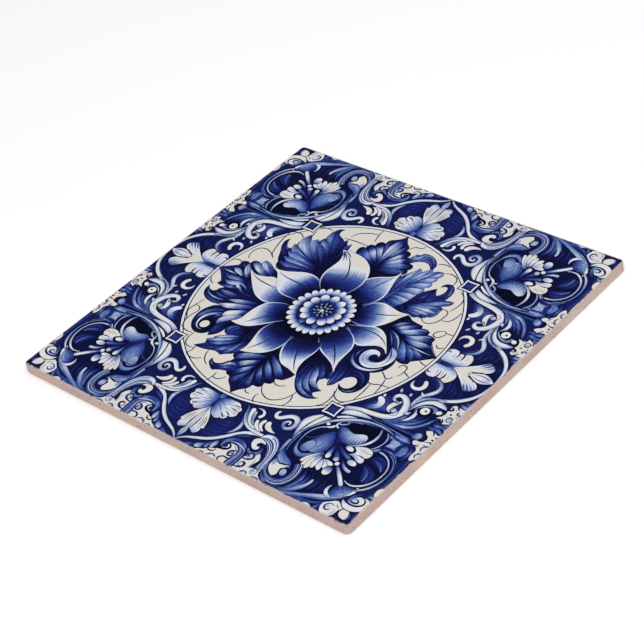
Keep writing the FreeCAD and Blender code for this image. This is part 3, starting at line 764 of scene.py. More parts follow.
# The leaf that curls in under the ribbon at the upper left.
border.blade([(34.6, 61), (35.8, 63.8), (38.4, 65), (42.6, 65)],
             [(34.8, 58), (37.4, 60.8), (41, 62.4), (42.6, 65)], (BLUE, SKY, SKY, SKY),
             across=(0.15, -0.08, 0.2), ink=0.25)
border.strokes([
    ([(35.6, 60.4), (38, 62.6), (41.6, 63.8)], (0.15, 0.35, 0.15), BLUE),
    ([(35.4, 61.6), (37.4, 63.8), (40, 64.4)], (0.15, 0.3, 0.15), PALE),
])
border.blade([(36, 64.4), (35.8, 67), (37.6, 69.4), (39.6, 70.4)],
             [(36, 64.4), (38.6, 65), (41.6, 64.6), (40, 66.6), (40.6, 69), (39.6, 70.4)], CREAM,
             ink=0.25)
border.bead((36.4, 65.2), (3, 1.4), (SKY, PALE), 80)
border.bead((42, 67.4), (3.2, 2.2), (SKY, PALE, SKY), 70, ink=0.3)
border.stroke([(38.2, 65), (39.4, 64.6), (40.6, 64.4), (41.4, 63.8)], (0.4, 0.7, 0.7, 0.3), INK)
print(len(marks), "marks with the roundels' frames")

# %% [markdown]
# ## Buds in the roundels
# The spray has a broad blue petal, a domed bud with a dark mouth, two half-open white flowers and
# the stamens between them. White lies on the darkest ground here, so the buds stand out.

# %% Flowers in the roundels
border.blade([(41, 42.6), (41, 46), (42, 50)], [(47, 42), (49, 46), (50, 53)], (NAVY, DEEP, DEEP),
             across=(0.15, 0.0, 0.15))
border.blade(
    [(44.8, 44.2), (41.6, 47.2), (40.6, 50.4), (39.3, 52.6), (38.7, 54.6), (39.6, 56.3), (41, 56.6),
     (42.3, 55.5)],
    [(44.8, 44.2), (46.6, 47), (47.5, 50), (47.2, 53), (45.6, 55), (43.8, 55.7), (42.3, 55.5)],
    (DEEP, BLUE, SKY, 0.36, SKY), across=(0.1, -0.03, -0.06, 0.0, 0.2), ink=0.35)
border.bead((41, 53.6), (4.8, 3.6), (0.5, 0.36, 0.3, 0.34), -75, ink=0.22)
border.strokes([
    ([(45.4, 54.6), (46.4, 52.8), (46.6, 50.4)], (0.15, 0.3, 0.12), DEEP),
    ([(44.2, 55), (45.4, 52.8), (45.6, 49.6)], (0.15, 0.3, 0.12), BLUE),
    ([(43.2, 54.8), (44.2, 52), (44.4, 48.6)], (0.12, 0.3, 0.12), BLUE),
    ([(41.2, 51.2), (41.9, 49), (43.2, 46.8)], (0.12, 0.3, 0.12), BLUE),
])
border.beads([
    ((45.4, 57.2), (8, 2.2), (BLUE, PALE, WHITE, CREAM, CREAM), 126),
    ((51.2, 56.6), (4.8, 1.9), (SKY, PALE, WHITE, CREAM), 2),
    ((50.6, 57.6), (5.8, 2.0), (BLUE, PALE, WHITE, CREAM), 36),
    ((49.4, 58.2), (6, 2.1), (BLUE, PALE, WHITE, CREAM), 62),
    ((46, 58), (7.8, 2.2), (BLUE, PALE, CREAM, CREAM), 112),
    ((46.9, 58.6), (7.6, 2.3), (BLUE, PALE, CREAM, CREAM, CREAM), 98),
    ((47.9, 58), (6.4, 1.8), (BLUE, PALE, CREAM, CREAM), 84),
], ink=0.18)
border.strokes([
    ([(47.6, 54.8), (46.2, 57), (45.2, 59)], (0.4, 0.3, 0.1), (DEEP, SKY, PALE)),
    ([(48, 55), (47.2, 57.6), (46.8, 60)], (0.4, 0.3, 0.1), (DEEP, SKY, PALE)),
    ([(48.7, 55.4), (48.8, 57), (48.7, 58.6)], (0.6, 0.4, 0.15), (NAVY, DEEP, BLUE)),
])
border.bead((53.6, 59.4), (4, 2.9), (DEEP, SKY, WHITE, CREAM), 90, ink=0.3)
border.stroke([(48.6, 49.6), (49, 52.4), (49.4, 54.2)], (0.6, 1.2, 1.6), (DEEP, SKY, WHITE), ink=0.25)
border.bead((49.4, 54), (2.2, 1.7), (PALE, CREAM), 84)
border.stroke([(50.6, 50.6), (52, 52.6), (53, 54)], (0.6, 1.4, 1.6), (DEEP, BLUE, SKY))
border.bead((52.7, 53.9), (1.9, 1.8), (SKY, WHITE), 60, ink=0.25)
border.bead((54.4, 55.4), (1.6, 1.6), (WHITE, CREAM), 60, ink=0.25)
border.stroke([(55.4, 56.4), (58.4, 59), (61.4, 61.9)], (0.9, 1.4, 1.4), (SKY, WHITE, CREAM),
              across=(0.25, 0.0, 0.1), ink=0.25)
border.stroke([(55.4, 53.8), (57.6, 55.6), (59.8, 56.2)], (0.7, 1.1, 1.2), (BLUE, PALE, WHITE),
              across=(0.25, 0.0, 0.1), ink=0.25)
border.stroke([(49.8, 48.6), (53, 50.4), (56, 51.6)], (0.6, 1.3, 1.2), (DEEP, BLUE, SKY),
              across=(0.1, 0.0, 0.1), ink=0.25)
border.blade(
    [(54.4, 50.2), (57, 50.3), (59.4, 51.5), (60.8, 51.3), (60.9, 50), (59.7, 49.1), (59.7, 49.1),
     (60.9, 48.7), (61.6, 47.2), (61, 45.6), (59.4, 44.9)],
    [(54.4, 50.2), (55.6, 49.2), (55.6, 47.4), (54.4, 46.4), (56, 45.6), (57.6, 44.9), (59.4, 44.9)],
    (SKY, PALE, WHITE, CREAM, CREAM, CREAM), ink=0.3)
border.strokes([
    ([(59.8, 49.1), (58.2, 48.9), (56.8, 49.3)], (0.6, 0.4, 0.12), (NAVY, BLUE, SKY)),
    ([(61.2, 46.6), (59.4, 46.8), (57.4, 46.8)], (0.25, 0.3, 0.15), (SKY, SKY, PALE)),
    ([(59.6, 45.6), (58, 46.2), (56.4, 46.6)], (0.12, 0.3, 0.15), (PALE, SKY)),
    ([(60.4, 50.6), (58.6, 50.2), (56.8, 49.9)], (0.12, 0.3, 0.15), (PALE, SKY)),
])
border.bead((58.2, 52.7), (3.7, 2.2), (SKY, PALE, WHITE, CREAM), 8, ink=0.5)
border.bead((53.8, 48.1), (4.8, 3), INK, 8)
border.bead((53.5, 48), (3.3, 1.8), (SKY, WHITE, WHITE), 10)
print(len(marks), "marks with the open flowers")

# %% [markdown]
# The last bud is a dome over a dark mouth. Its shade is hatched, as engravers do it: a loop lays a
# short line from each point of the top to one below. Dim leaves fill the dark behind the spray.

# %% The domed bud and the leaves behind
border.blade([(44.6, 41.6), (46, 45), (50, 47), (54.6, 45.4), (57.4, 42), (57.4, 38), (56.4, 35.6)],
             [(44.6, 41.6), (45.6, 38.8), (50, 37), (56.4, 35.6)], INK)
border.blade([(44.2, 41.8), (45, 44.2), (47, 46.1), (50, 46.9), (53, 46.2), (55.2, 44.3), (55.8, 42)],
             [(44.2, 41.8), (46.4, 41), (48.4, 41.7), (50.2, 42), (52.2, 41.1), (54.2, 40.5), (55.8, 42)],
             (DEEP, 0.5, 0.36, 0.24, 0.14, 0.3), across=(0.3, 0.05, -0.06, -0.02))
for top, bottom in (
    ((46, 44.8), (46.6, 42.4)), ((47.2, 45.6), (47.8, 42.8)), ((48.4, 46.2), (48.9, 43)),
    ((49.6, 46.5), (49.9, 43.2)), ((50.8, 46.5), (50.9, 43)), ((52, 46.2), (51.9, 42.6)),
    ((53.2, 45.6), (52.8, 42.2)), ((54.2, 44.7), (53.6, 42)), ((55, 43.6), (54.4, 41.8)),
):
    middle = ((top[0] + bottom[0]) / 2 + 0.15, (top[1] + bottom[1]) / 2)
    border.stroke([top, middle, bottom], (0.3, 0.25, 0.1), (DEEP, BLUE, SKY))
border.stroke([(52, 47), (55, 45.4), (57.3, 42.6), (57.9, 39.4), (56.9, 35.9)], (0.3, 0.8, 0.9, 0.8, 0.4),
              (SKY, PALE, WHITE, PALE, SKY), ink=0.25)
border.blades([
    ([(61.8, 51), (63.6, 54.4), (65.6, 58.4)], [(61.8, 51), (66.2, 51.4), (68.6, 54), (65.6, 58.4)],
     (NAVY, 0.78, 0.76, NAVY)),
    ([(62, 48.8), (65.8, 49.8), (69, 51.8)], [(62, 48.8), (64, 46), (67.2, 46.8), (69, 51.8)],
     (NAVY, 0.78, 0.74, 0.8)),
], across=(0.06, -0.05, 0.07, -0.04, 0.07))
border.strokes([
    ([(62.6, 51.6), (65.2, 53.6), (66.2, 57.4)], (0.2, 1.1, 0.3), (DEEP, BLUE, SKY)),
    ([(62.6, 48), (66, 48.6), (68.6, 51)], (0.2, 1.0, 0.3), (DEEP, BLUE, SKY)),
    ([(62.4, 50), (64.6, 50.8), (67.6, 52.4)], (0.2, 0.5, 0.2), INK),
    ([(67.2, 53.4), (68, 55.4), (67.2, 57.6)], (0.2, 0.5, 0.2), 0.66),
    ([(63.6, 46.2), (66.2, 46.4), (68.2, 48)], (0.2, 0.5, 0.2), 0.66),
])

# The broken tendril by the square.
border.strokes([
    ([(40.4, 44), (41.8, 43.3), (42.7, 42.2), (43.8, 42.5)], (0.5, 0.8, 0.9, 0.5), WHITE),
    ([(42.9, 42.2), (42.6, 41), (43, 40)], (0.6, 0.6, 0.4), (WHITE, PALE)),
    ([(43.2, 40.9), (44.8, 40.2), (45.6, 39.2), (45.1, 38.2), (44, 38.6)], (0.4, 0.6, 0.6, 0.7, 0.4),
     (PALE, SKY, PALE)),
], ink=0.15)
border.bead((39.9, 42.7), (1.4, 1.1), WHITE, 0)
print(len(marks), "marks with the roundels' flowers")

# %% [markdown]
# ## Outer corners
# Past the roundels the corners close with a spiral, a bud and a volute on the dark ground, all bare
# glaze with a few lines.

# %% Outer corners
border.bands([(71.8, 43), (72.4, 48), (72.6, 54), (71.6, 60), (70.2, 63)],
             [(75, 43), (75, 48), (75, 54), (75, 60), (74.6, 63)],
             [NAVY, DEEP, NAVY, BLUE, DEEP, NAVY, SKY, DEEP])
border.blade([(75, 56), (73.4, 57), (73.1, 59), (74, 60.8)], [(75, 56), (75, 59), (74, 60.8)], CREAM,
             ink=0.2)
border.strokes([
    ([(50, 74.2), (54, 73.4), (58, 72.4)], (0.4, 1.2, 0.5), (DEEP, BLUE, DEEP)),
    ([(52, 74.6), (55, 74.2), (57.4, 73.4)], (0.3, 0.7, 0.3), (SKY, BLUE)),
    ([(57, 73), (59.6, 72.2), (61.4, 70.6)], (0.3, 0.9, 0.3), BLUE),
    ([(60.2, 74.4), (61, 73.2), (61.2, 71.8)], (0.3, 0.9, 0.3), (SKY, BLUE)),
])
border.stroke([(55.5, 75), (57, 74.2), (59.4, 74.6)], (0.6, 1.4, 0.8), (SKY, WHITE, PALE), ink=0.2)
border.blade(
    [(61.8, 70.6), (62.4, 73.4), (64.2, 74.9), (66.4, 74.8), (67.8, 73), (68, 71), (69, 69.4)],
    [(61.8, 70.6), (63.6, 69.2), (65.6, 67.8), (67.2, 68.6), (69, 69.4)],
    (PALE, WHITE, CREAM, CREAM, WHITE), ink=0.3)
border.strokes([
    ([(65.8, 70), (64.4, 69.8), (63.2, 70.8), (63.4, 72.2), (64.6, 72.6), (65.4, 71.8)],
     (0.3, 0.5, 0.6, 0.7, 0.6, 0.3), (SKY, BLUE, NAVY, NAVY)),
    ([(66.4, 74), (67.1, 72.6), (67, 71.2)], (0.15, 0.35, 0.15), SKY),
    ([(66.2, 69.2), (67, 69.8), (67.6, 70.2)], (0.2, 0.4, 0.2), BLUE),
])
border.bead((64.3, 71.2), (1.2, 1.0), (SKY, WHITE), 0)
border.bead((70.9, 71.5), (4.4, 4.2), INK, 45)
border.blade([(69.6, 69.4), (68.8, 70.8), (69.4, 72.4), (71.2, 73.1)],
             [(69.6, 69.4), (71.4, 69.6), (72.2, 71), (72.6, 72.7), (71.2, 73.1)],
             (WHITE, CREAM, CREAM, WHITE))
border.stroke([(72.2, 72.8), (72.7, 71.6), (72.3, 70.2)], (0.3, 0.6, 0.3), (SKY, BLUE))
border.bead((74, 73.8), (2.4, 2.0), NAVY, 45)
border.stroke([(73.4, 72.2), (74.2, 70.6), (74, 69)], (0.3, 0.8, 0.3), (DEEP, BLUE, DEEP))
border.stroke([(66.6, 66.8), (69.4, 68.4), (72.4, 67.9), (74.3, 65.8), (74, 63.6), (72.4, 62.8)],
              (0.6, 2.0, 2.0, 1.9, 1.5, 0.6), (PALE, CREAM, WHITE, CREAM, WHITE, PALE), ink=0.35)
border.blade([(67.6, 66), (69.6, 66.8), (71.8, 66.2), (73, 64.8), (72.4, 63.4)],
             [(67.6, 66), (69, 64.6), (70.4, 63), (72.4, 63.4)], (SKY, PALE, WHITE, CREAM), ink=0.2)
border.stroke([(68.6, 65.6), (70, 66), (71.2, 65.4), (70.8, 64.4), (69.8, 64.5)],
              (0.4, 0.7, 0.8, 0.6, 0.3), (DEEP, NAVY, INK))
border.bead((71.3, 63.9), (1.3, 1.0), CREAM, 0)
border.stroke([(68, 65.6), (68.8, 63.4), (70.6, 61.4)], (0.4, 1.2, 0.4), (SKY, BLUE, DEEP), ink=0.2)
border.stroke([(72.6, 61.8), (73.4, 61.2), (74.6, 61.4)], (0.3, 0.8, 0.4), (SKY, PALE), ink=0.15)
print(len(marks), "marks in the whole border")

# %% [markdown]
# ## The medallion
# A round field of bare glaze inside a white ring, with a fine network of cracks that the painter
# drew on it. It is a shade wider than it is tall, which tells a hand from a compass.

# %% Medallion
MEDALLION = (100.6, 97.6)
for grow, tone in ((2.2, INK), (1.3, WHITE), (-0.4, INK), (-1.2, CREAM)):
    centre.bead((0.1, 0.0), (MEDALLION[0] + grow, MEDALLION[1] + grow), tone)
CRACKS = [
    [(-10.8, 47), (-10.5, 44), (-9.5, 40.5)], [(-10.6, 44.3), (-15, 43), (-17.5, 41.5), (-19, 38.5)],
    [(-20.5, 36.5), (-14, 37.2), (-10, 37)], [(-34, 36.5), (-30, 38.2), (-27.5, 38)],
    [(-32.8, 35), (-32.6, 33), (-32.2, 31.5)],
    [(-41, 31), (-41, 26), (-39.8, 20), (-38.5, 16.5), (-36.5, 14.6)],
    [(-40.5, 30), (-37, 30.8), (-34.5, 29)],
    [(-37.5, 15.2), (-41, 17.2), (-44.5, 16.8), (-45.8, 13), (-44.5, 10)],
    [(-49, 6.5), (-47, 7.6), (-45, 7)], [(-49, -5), (-47.5, -7), (-46, -7.6)],
    [(-42, -16), (-43, -20), (-43.2, -23.5), (-40.5, -27), (-39.5, -30)],
    [(-42.5, -19.8), (-40.2, -20.4), (-39.6, -22), (-40.3, -25), (-39.8, -29)],
    [(-39.5, -30.5), (-37, -31.8), (-33, -31.8)],
    [(-32.2, -31.5), (-32.3, -35), (-31, -37.2), (-27, -37.6)],
    [(-26.8, -36.5), (-26.6, -39.5), (-27.5, -40.8)], [(-27, -41), (-24, -41.8), (-20.5, -40.2)],
    [(-21, -36), (-20, -38.8), (-16.5, -41.8)], [(-10.5, -43), (-10.3, -45.5), (-11, -48)],
    [(-10.3, -45), (-8, -45.4), (-6.2, -43)], [(9.2, 46.8), (8.5, 45.5), (6, 45), (4.8, 42.8)],
    [(19.5, 41.2), (22, 42.2), (24, 41.8)],
    [(25, 38.4), (28, 38.8), (30.5, 37.5), (31.2, 35), (31.2, 33.5)],
    [(36, 32.5), (39.5, 29.5), (39.8, 25.5), (39, 22.5)],
    [(43.2, 23.5), (43, 20.5), (42, 17.8), (39.5, 17.2)],
    [(36, 22), (38.8, 21.5), (39.2, 18.5), (38.2, 15), (35.5, 13.2), (32.8, 14.6)],
    [(44, 13), (42, 11.5), (41.8, 9.5), (43.5, 9), (45, 10.8), (45.2, 12.6), (44, 13)],
    [(45.5, 12.5), (48, 12.6)], [(46, 6), (47.5, 5), (49, 6)], [(46.2, -3.2), (48, -4), (49.5, -4.2)],
    [(42.3, -9.6), (42.6, -7.9), (44.6, -8), (45.2, -10.5), (44.6, -13)], [(45.2, -10.2), (48.2, -11.6)],
    [(38.4, -13.6), (40.5, -15), (42, -15.9), (43.4, -14.2)], [(42, -16), (43, -20), (43.4, -23.6)],
    [(36.8, -19), (39, -20.6), (41.5, -19.6), (45.8, -19)], [(39.2, -20.8), (39.6, -25), (39.3, -29.5)],
    [(31, -28), (32.2, -32), (31.8, -36.5), (30.5, -38)],
    [(31.2, -29.5), (33.4, -32), (35.4, -32.6), (38.4, -31)],
    [(8, -40), (10.5, -42.8), (14.5, -44), (18, -42), (20, -38.5), (20.2, -36)],
    [(10, -36.2), (12, -37.3), (14.8, -36)], [(20, -38), (21.2, -40.5), (20.6, -44)],
    [(9.5, -44), (9.5, -46), (11, -47.8)], [(4, -44), (5.5, -45.3), (6.8, -45.2)],
]
for crack in CRACKS:
    centre.stroke(crack, (0.32, 0.48, 0.44, 0.32), 0.86)
print(len(CRACKS), "cracks drawn on the medallion")

# %% [markdown]
# ## Squares on the diagonals
# Four small squares pin the medallion to the frame. Each is a nest of four, dark and light in turn,
# with sides that draw in a little, so one loop over their sizes is enough.

# %% Squares
SQUARE_AT = 36.5   # millimetres from the face's middle to a square's, both right and away
BOW = 0.2          # how far the sides draw in
for half, tone in ((3.2, INK), (2.75, WHITE), (2.1, INK), (1.5, (DEEP, 0.64))):
    near_edge, far_edge = SQUARE_AT - half, SQUARE_AT + half
    left = [(near_edge, near_edge), (near_edge + BOW, SQUARE_AT), (near_edge, far_edge)]
    top = [(near_edge, far_edge), (SQUARE_AT, far_edge - BOW), (far_edge, far_edge)]
    right = [(far_edge, near_edge), (far_edge - BOW, SQUARE_AT), (far_edge, far_edge)]
    bottom = [(near_edge, near_edge), (SQUARE_AT, near_edge + BOW), (far_edge, near_edge)]
    border.blade(left + top, bottom + right, tone)
print(len(marks), "marks with the squares")

# %% [markdown]
# ## Leaves behind the flower
# Acanthus leaves are painted as a dark silhouette first, and then each lobe is one press and lift
# of the brush, from the midrib out to the lobe's tip: thin, full, thin. So a leaf here is one
# blade with its notched edges, and a list of such lobe strokes over it.

# %% Two manners of lobes


def lobes(strokes):
    """Press and lift strokes: points, the widest width, and the strengths along the stroke."""
    for points, width, cobalt in strokes:
        swell = (0.3 * width, 1.0 * width, 1.15 * width, 0.3 * width)
        centre.stroke(points, swell, cobalt, across=(0.14, -0.06, -0.06, 0.2), ink=0.16)


def fronds(blades):
    """Lobes with both edges drawn: left, right, and the strengths from root to tip."""
    for left, right, cobalt in blades:
        centre.blade(left, right, cobalt, across=(-0.1, -0.04, 0.06, 0.16), ink=0.14)


# A shade lies under the whole flower and shows in the gaps.
centre.blade([(0, 31), (10, 30), (14.4, 28), (15, 22), (20, 15), (25, 14.4), (31, 11.6), (31, 4),
              (35, -2), (31, -8), (28, -14), (25.4, -22), (20, -23), (15, -28), (12.6, -31)],
             [(0, 31), (-12, 31), (-15, 25), (-24, 14.4), (-31, 10.4), (-36, 8), (-37, -7), (-33, -9.6),
              (-29, -15), (-27.6, -22), (-21.6, -25), (-16, -28), (-12.6, -31), (0, -33), (12.6, -31)],
             0.95)
print(len(marks), "marks with the shade under the flower")

# %% [markdown]
# This leaf points away from the viewer. Its lobes climb in pairs from the midrib, palest on the
# shoulder and dark at the tip. A stroke would give them an even width, so both edges are drawn.

# %% Far leaf
centre.blade(
    [(-1, 24), (-6, 28), (-10.6, 31), (-12, 34.2), (-11.4, 35.8), (-11.4, 35.8), (-9.8, 36), (-9.8, 36),
     (-10, 37.3), (-9.2, 38.4), (-9.2, 38.4), (-7.6, 38.7), (-7.6, 38.7), (-7.8, 40.2), (-6.7, 41.5),
     (-6.7, 41.5), (-5, 41.4), (-5, 41.4), (-4.8, 43.6), (-3, 45), (-1.4, 46.6), (-0.4, 48.8)],
    [(1, 24), (7, 27.5), (11, 29.6), (12.4, 31.6), (11.6, 33), (11.6, 33), (12.4, 34.6), (11.4, 36.2),
     (11.4, 36.2), (9.9, 36.4), (9.9, 36.4), (9.8, 38), (8.4, 38.8), (8.4, 38.8), (7, 38.8), (7, 38.8),
     (6.9, 40.8), (5.4, 41.7), (5.4, 41.7), (4.2, 41.8), (4.2, 41.8), (4.2, 43.4), (2.4, 44.8),
     (0.8, 46.6), (-0.4, 48.8)],
    (INK, 0.93, NAVY, 0.8), ink=0.15)
fronds([
    ([(1.6, 28.4), (5, 30.4), (8, 31.6), (11.6, 32)], [(3, 27.2), (7, 28.2), (10, 29.6), (11.6, 32)],
     (NAVY, DEEP, BLUE, BLUE, DEEP)),
    ([(1.4, 30), (5, 33.2), (8, 35), (11.6, 35.6)],
     [(1.8, 28.8), (6, 31), (9.4, 32.8), (11.9, 34), (11.6, 35.6)], (NAVY, BLUE, SKY, SKY, DEEP, INK)),
    ([(1.3, 31.4), (4, 35), (6.4, 37.4), (9.4, 38.2)],
     [(1.6, 30.2), (5.2, 33.4), (8, 35.6), (9.5, 36.8), (9.4, 38.2)], (NAVY, SKY, PALE, PALE, DEEP, INK)),
    ([(1.1, 33), (2.8, 37), (4.4, 39.8), (6.2, 41.4)],
     [(1.4, 31.8), (4.2, 35.6), (5.8, 38), (6.7, 39.6), (6.2, 41.4)], (DEEP, SKY, PALE, PALE, NAVY, INK)),
    ([(-1.6, 28.6), (-5, 30.2), (-8, 32), (-11.4, 33.4)],
     [(-3, 27.6), (-6.6, 28.8), (-9.6, 30.8), (-11.4, 33.4)], (NAVY, DEEP, DEEP, BLUE, NAVY)),
    ([(-1.6, 30), (-5, 32.2), (-8, 34.8), (-10.9, 35.6)],
     [(-1.6, 28.8), (-6, 30.6), (-9.4, 32.6), (-11.5, 34.2), (-10.9, 35.6)],
     (NAVY, DEEP, SKY, SKY, DEEP, INK)),
    ([(-1.4, 31.6), (-4.2, 34.6), (-6.6, 37.2), (-9, 38)],
     [(-1.6, 30.2), (-5.4, 32.8), (-8.2, 35.2), (-9.6, 36.6), (-9, 38)],
     (NAVY, BLUE, PALE, PALE, DEEP, INK)),
    ([(-1.2, 33.4), (-2.8, 37), (-4.6, 39.8), (-6.5, 41.2)],
     [(-1.4, 32), (-4.4, 35.4), (-6.2, 37.6), (-7.4, 39.4), (-6.5, 41.2)],
     (DEEP, SKY, PALE, 0.28, NAVY, INK)),
    ([(-1, 35.4), (-2.6, 39), (-3.6, 41.6), (-4.2, 44)],
     [(-1.2, 34.4), (-3.6, 38.2), (-4.8, 40.8), (-4.2, 44)], (DEEP, BLUE, BLUE, NAVY)),
    ([(0.8, 35.6), (1.4, 39), (2, 42), (3.2, 43.6)],
     [(1, 34.6), (2.6, 38.2), (3.6, 40.8), (4, 42.4), (3.2, 43.6)], (DEEP, SKY, SKY, BLUE, NAVY)),
    ([(-0.3, 31), (-1.9, 37), (-2.5, 41), (-1.8, 44), (-0.4, 46)],
     [(-0.3, 31), (0.8, 37), (1.3, 41), (0.8, 44), (-0.4, 46)], (DEEP, SKY, PALE, 0.2, SKY, NAVY)),
])
centre.stroke([(-0.4, 29), (-0.7, 38), (-0.5, 45.4)], (0.4, 0.3, 0.2), (NAVY, BLUE, DEEP))
print(len(marks), "marks with the far leaf")

# %% [markdown]
# Its partner points to the near side. It is not a mirror of the first one, as its lobes are longer
# and hang, so it has edges of its own. The midrib is drawn over the lobes, with a dim line each side.

# %% Near leaf
centre.blade(
    [(2, -24), (9, -27), (14, -29.8), (13.2, -32.6), (12, -34.4), (12, -34.4), (9.5, -35.2), (9.5, -35.2),
     (10.1, -36.6), (9.6, -38), (9.6, -38), (7.6, -38.6), (7.6, -38.6), (7.9, -40), (7.2, -41.2),
     (7.2, -41.2), (4.8, -41.4), (4.8, -41.4), (4.4, -43.4), (2.4, -45.4), (0.8, -48.2)],
    [(-2, -24), (-8, -27), (-11.5, -29.6), (-12, -31.6), (-11.4, -33.6), (-11.4, -33.6), (-9.8, -34.6),
     (-9.8, -34.6), (-10.4, -36.4), (-9.6, -38.4), (-9.6, -38.4), (-8, -38.8), (-8, -38.8), (-8, -40.4),
     (-6.6, -41.8), (-6.6, -41.8), (-5.2, -42), (-5.2, -42), (-3.6, -44.2), (-1.2, -46), (0.8, -48.2)],
    (INK, 0.93, NAVY, NAVY), ink=0.15)
fronds([
    ([(0.8, -26.4), (4.4, -28), (8.4, -30.6), (12, -33.8)],
     [(0.7, -27.8), (3.4, -29.8), (7, -32.8), (10, -34.6), (12, -33.8)],
     (NAVY, BLUE, SKY, SKY, DEEP, INK)),
    ([(0.7, -29), (3.8, -31.2), (7, -34.2), (9.6, -37.2)],
     [(0.6, -30.4), (2.8, -33), (5.8, -36), (8.6, -38.2), (9.6, -37.2)],
     (NAVY, SKY, SKY, BLUE, NAVY, INK)),
    ([(0.6, -31.8), (2.8, -34.4), (5.4, -37.6), (7.6, -40)],
     [(0.5, -33.4), (2, -36.2), (4.4, -39.4), (6.6, -41), (7.6, -40)],
     (NAVY, BLUE, SKY, DEEP, NAVY, INK)),
    ([(0.5, -35), (1.9, -38), (3.4, -40.8), (4.4, -43)],
     [(0.4, -36.8), (1.2, -40), (2.4, -43), (4.4, -43)], (DEEP, BLUE, BLUE, NAVY)),
    ([(-1, -28), (-4, -28.6), (-7.6, -29.8), (-11, -32.4)],
     [(-1.1, -29.8), (-4, -31), (-7.6, -33), (-10, -34), (-11, -32.4)], (NAVY, BLUE, SKY, SKY, NAVY)),
    ([(-1, -30.6), (-4, -32.2), (-7, -34.2), (-9.7, -36.8)],
     [(-1, -32.4), (-3.4, -34.4), (-6.4, -37), (-8.6, -38.4), (-9.7, -36.8)],
     (NAVY, SKY, PALE, SKY, NAVY, INK)),
    ([(-0.9, -33.4), (-3, -35.4), (-5.6, -38), (-7.6, -40)],
     [(-0.7, -35.2), (-2.2, -37.6), (-4.6, -40.6), (-6.2, -41.6), (-7.6, -40)],
     (NAVY, SKY, 0.3, DEEP, NAVY, INK)),
    ([(-0.6, -36.6), (-2, -39), (-3.6, -41.4), (-4.4, -43)],
     [(-0.4, -38.2), (-1.2, -41.2), (-2.4, -44), (-4.4, -43)], (DEEP, BLUE, BLUE, NAVY)),
])
centre.strokes([
    ([(0.1, -24), (-0.1, -30), (-0.2, -35), (0.3, -46.4)], (1.1, 1.0, 0.6, 0.2), INK),
    ([(-0.9, -38), (-0.6, -40.4), (-0.2, -43)], (0.15, 0.5, 0.15), (DEEP, 0.6, DEEP)),
    ([(0.5, -38), (0.7, -41), (1, -44.4)], (0.15, 0.5, 0.15), (DEEP, 0.6, DEEP)),
])
print(len(marks), "marks with the near leaf")

# %% [markdown]
# The left leaf is softer. Fine strokes along its lobes, light on light, give the feathery look that
# a nearly dry brush leaves; more lobes would only make it busy.

# %% Left leaf
centre.blade(
    [(-20, 5), (-28, 10), (-32.5, 10.4), (-34.6, 11.4), (-37.4, 12), (-37.4, 12), (-38, 9.6), (-38, 9.6),
     (-39.5, 10.2), (-41.4, 9.7), (-41.4, 9.7), (-41.8, 7.9), (-41.8, 7.9), (-43.4, 8.3), (-45, 7.6),
     (-45, 7.6), (-44.8, 5.2), (-44.8, 5.2), (-47.6, 3), (-50.6, 0.8)],
    [(-20, -3), (-28, -7), (-33, -8.4), (-36, -8.6), (-38.8, -8), (-40.2, -7), (-40.2, -7), (-42.4, -7),
     (-44.6, -6.7), (-44.6, -6.7), (-44.2, -5), (-44.2, -5), (-46.6, -2.4), (-50.6, 0.8)],
    (INK, NAVY, NAVY, DEEP), ink=0.15)
fronds([
    ([(-29.6, 5.8), (-33, 6.8), (-35.8, 8.4), (-37.9, 10.4), (-37.5, 11.8)],
     [(-29.4, 8.6), (-32, 10.1), (-34.6, 11.3), (-37.5, 11.8)], (NAVY, BLUE, SKY, PALE, BLUE)),
    ([(-30.6, 4.4), (-34.6, 5.2), (-38.4, 6.8), (-41.4, 9.4)],
     [(-30.4, 6.2), (-34, 7.4), (-37, 8.8), (-39.6, 9.8), (-41.4, 9.4)],
     (NAVY, BLUE, PALE, PALE, SKY, NAVY)),
    ([(-38.4, 2.6), (-41, 4.6), (-43.4, 6), (-44.8, 7.4)],
     [(-38.6, 4), (-40.6, 6), (-42.4, 7.6), (-44.8, 7.4)], (NAVY, DEEP, DEEP, NAVY)),
    ([(-37.2, 0.7), (-40, 3), (-41.6, 5.4), (-41.8, 7.6)],
     [(-36.4, 1), (-38.2, 3.8), (-39.9, 6.2), (-41.8, 7.6)], (DEEP, SKY, PALE, PALE, SKY)),
    ([(-38.4, 0.4), (-41.4, 1.2), (-44, 2), (-45, 3.2)],
     [(-38.4, 0.7), (-41, 2.8), (-43.2, 3.8), (-45, 3.2)], (DEEP, PALE, PALE, SKY)),
    ([(-36.6, -1.3), (-40, -2), (-43, -2.4), (-45.8, -0.8)],
     [(-37, -0.2), (-40.4, -0.3), (-43.4, -0.4), (-45.8, -0.8)], (DEEP, SKY, SKY, BLUE, DEEP)),
    ([(-35.4, -2.8), (-38.4, -4.4), (-41.6, -4.8), (-43.8, -3.4)],
     [(-35.4, -1.2), (-38.4, -2.2), (-41, -3), (-43.8, -3.4)], (DEEP, PALE, PALE, SKY, DEEP)),
    ([(-36, -5.6), (-39, -6.6), (-42, -6.8), (-44.2, -6.4)],
     [(-36, -4.2), (-38.6, -4.8), (-41.4, -5), (-44.2, -6.4)], (NAVY, SKY, DEEP, INK)),
])
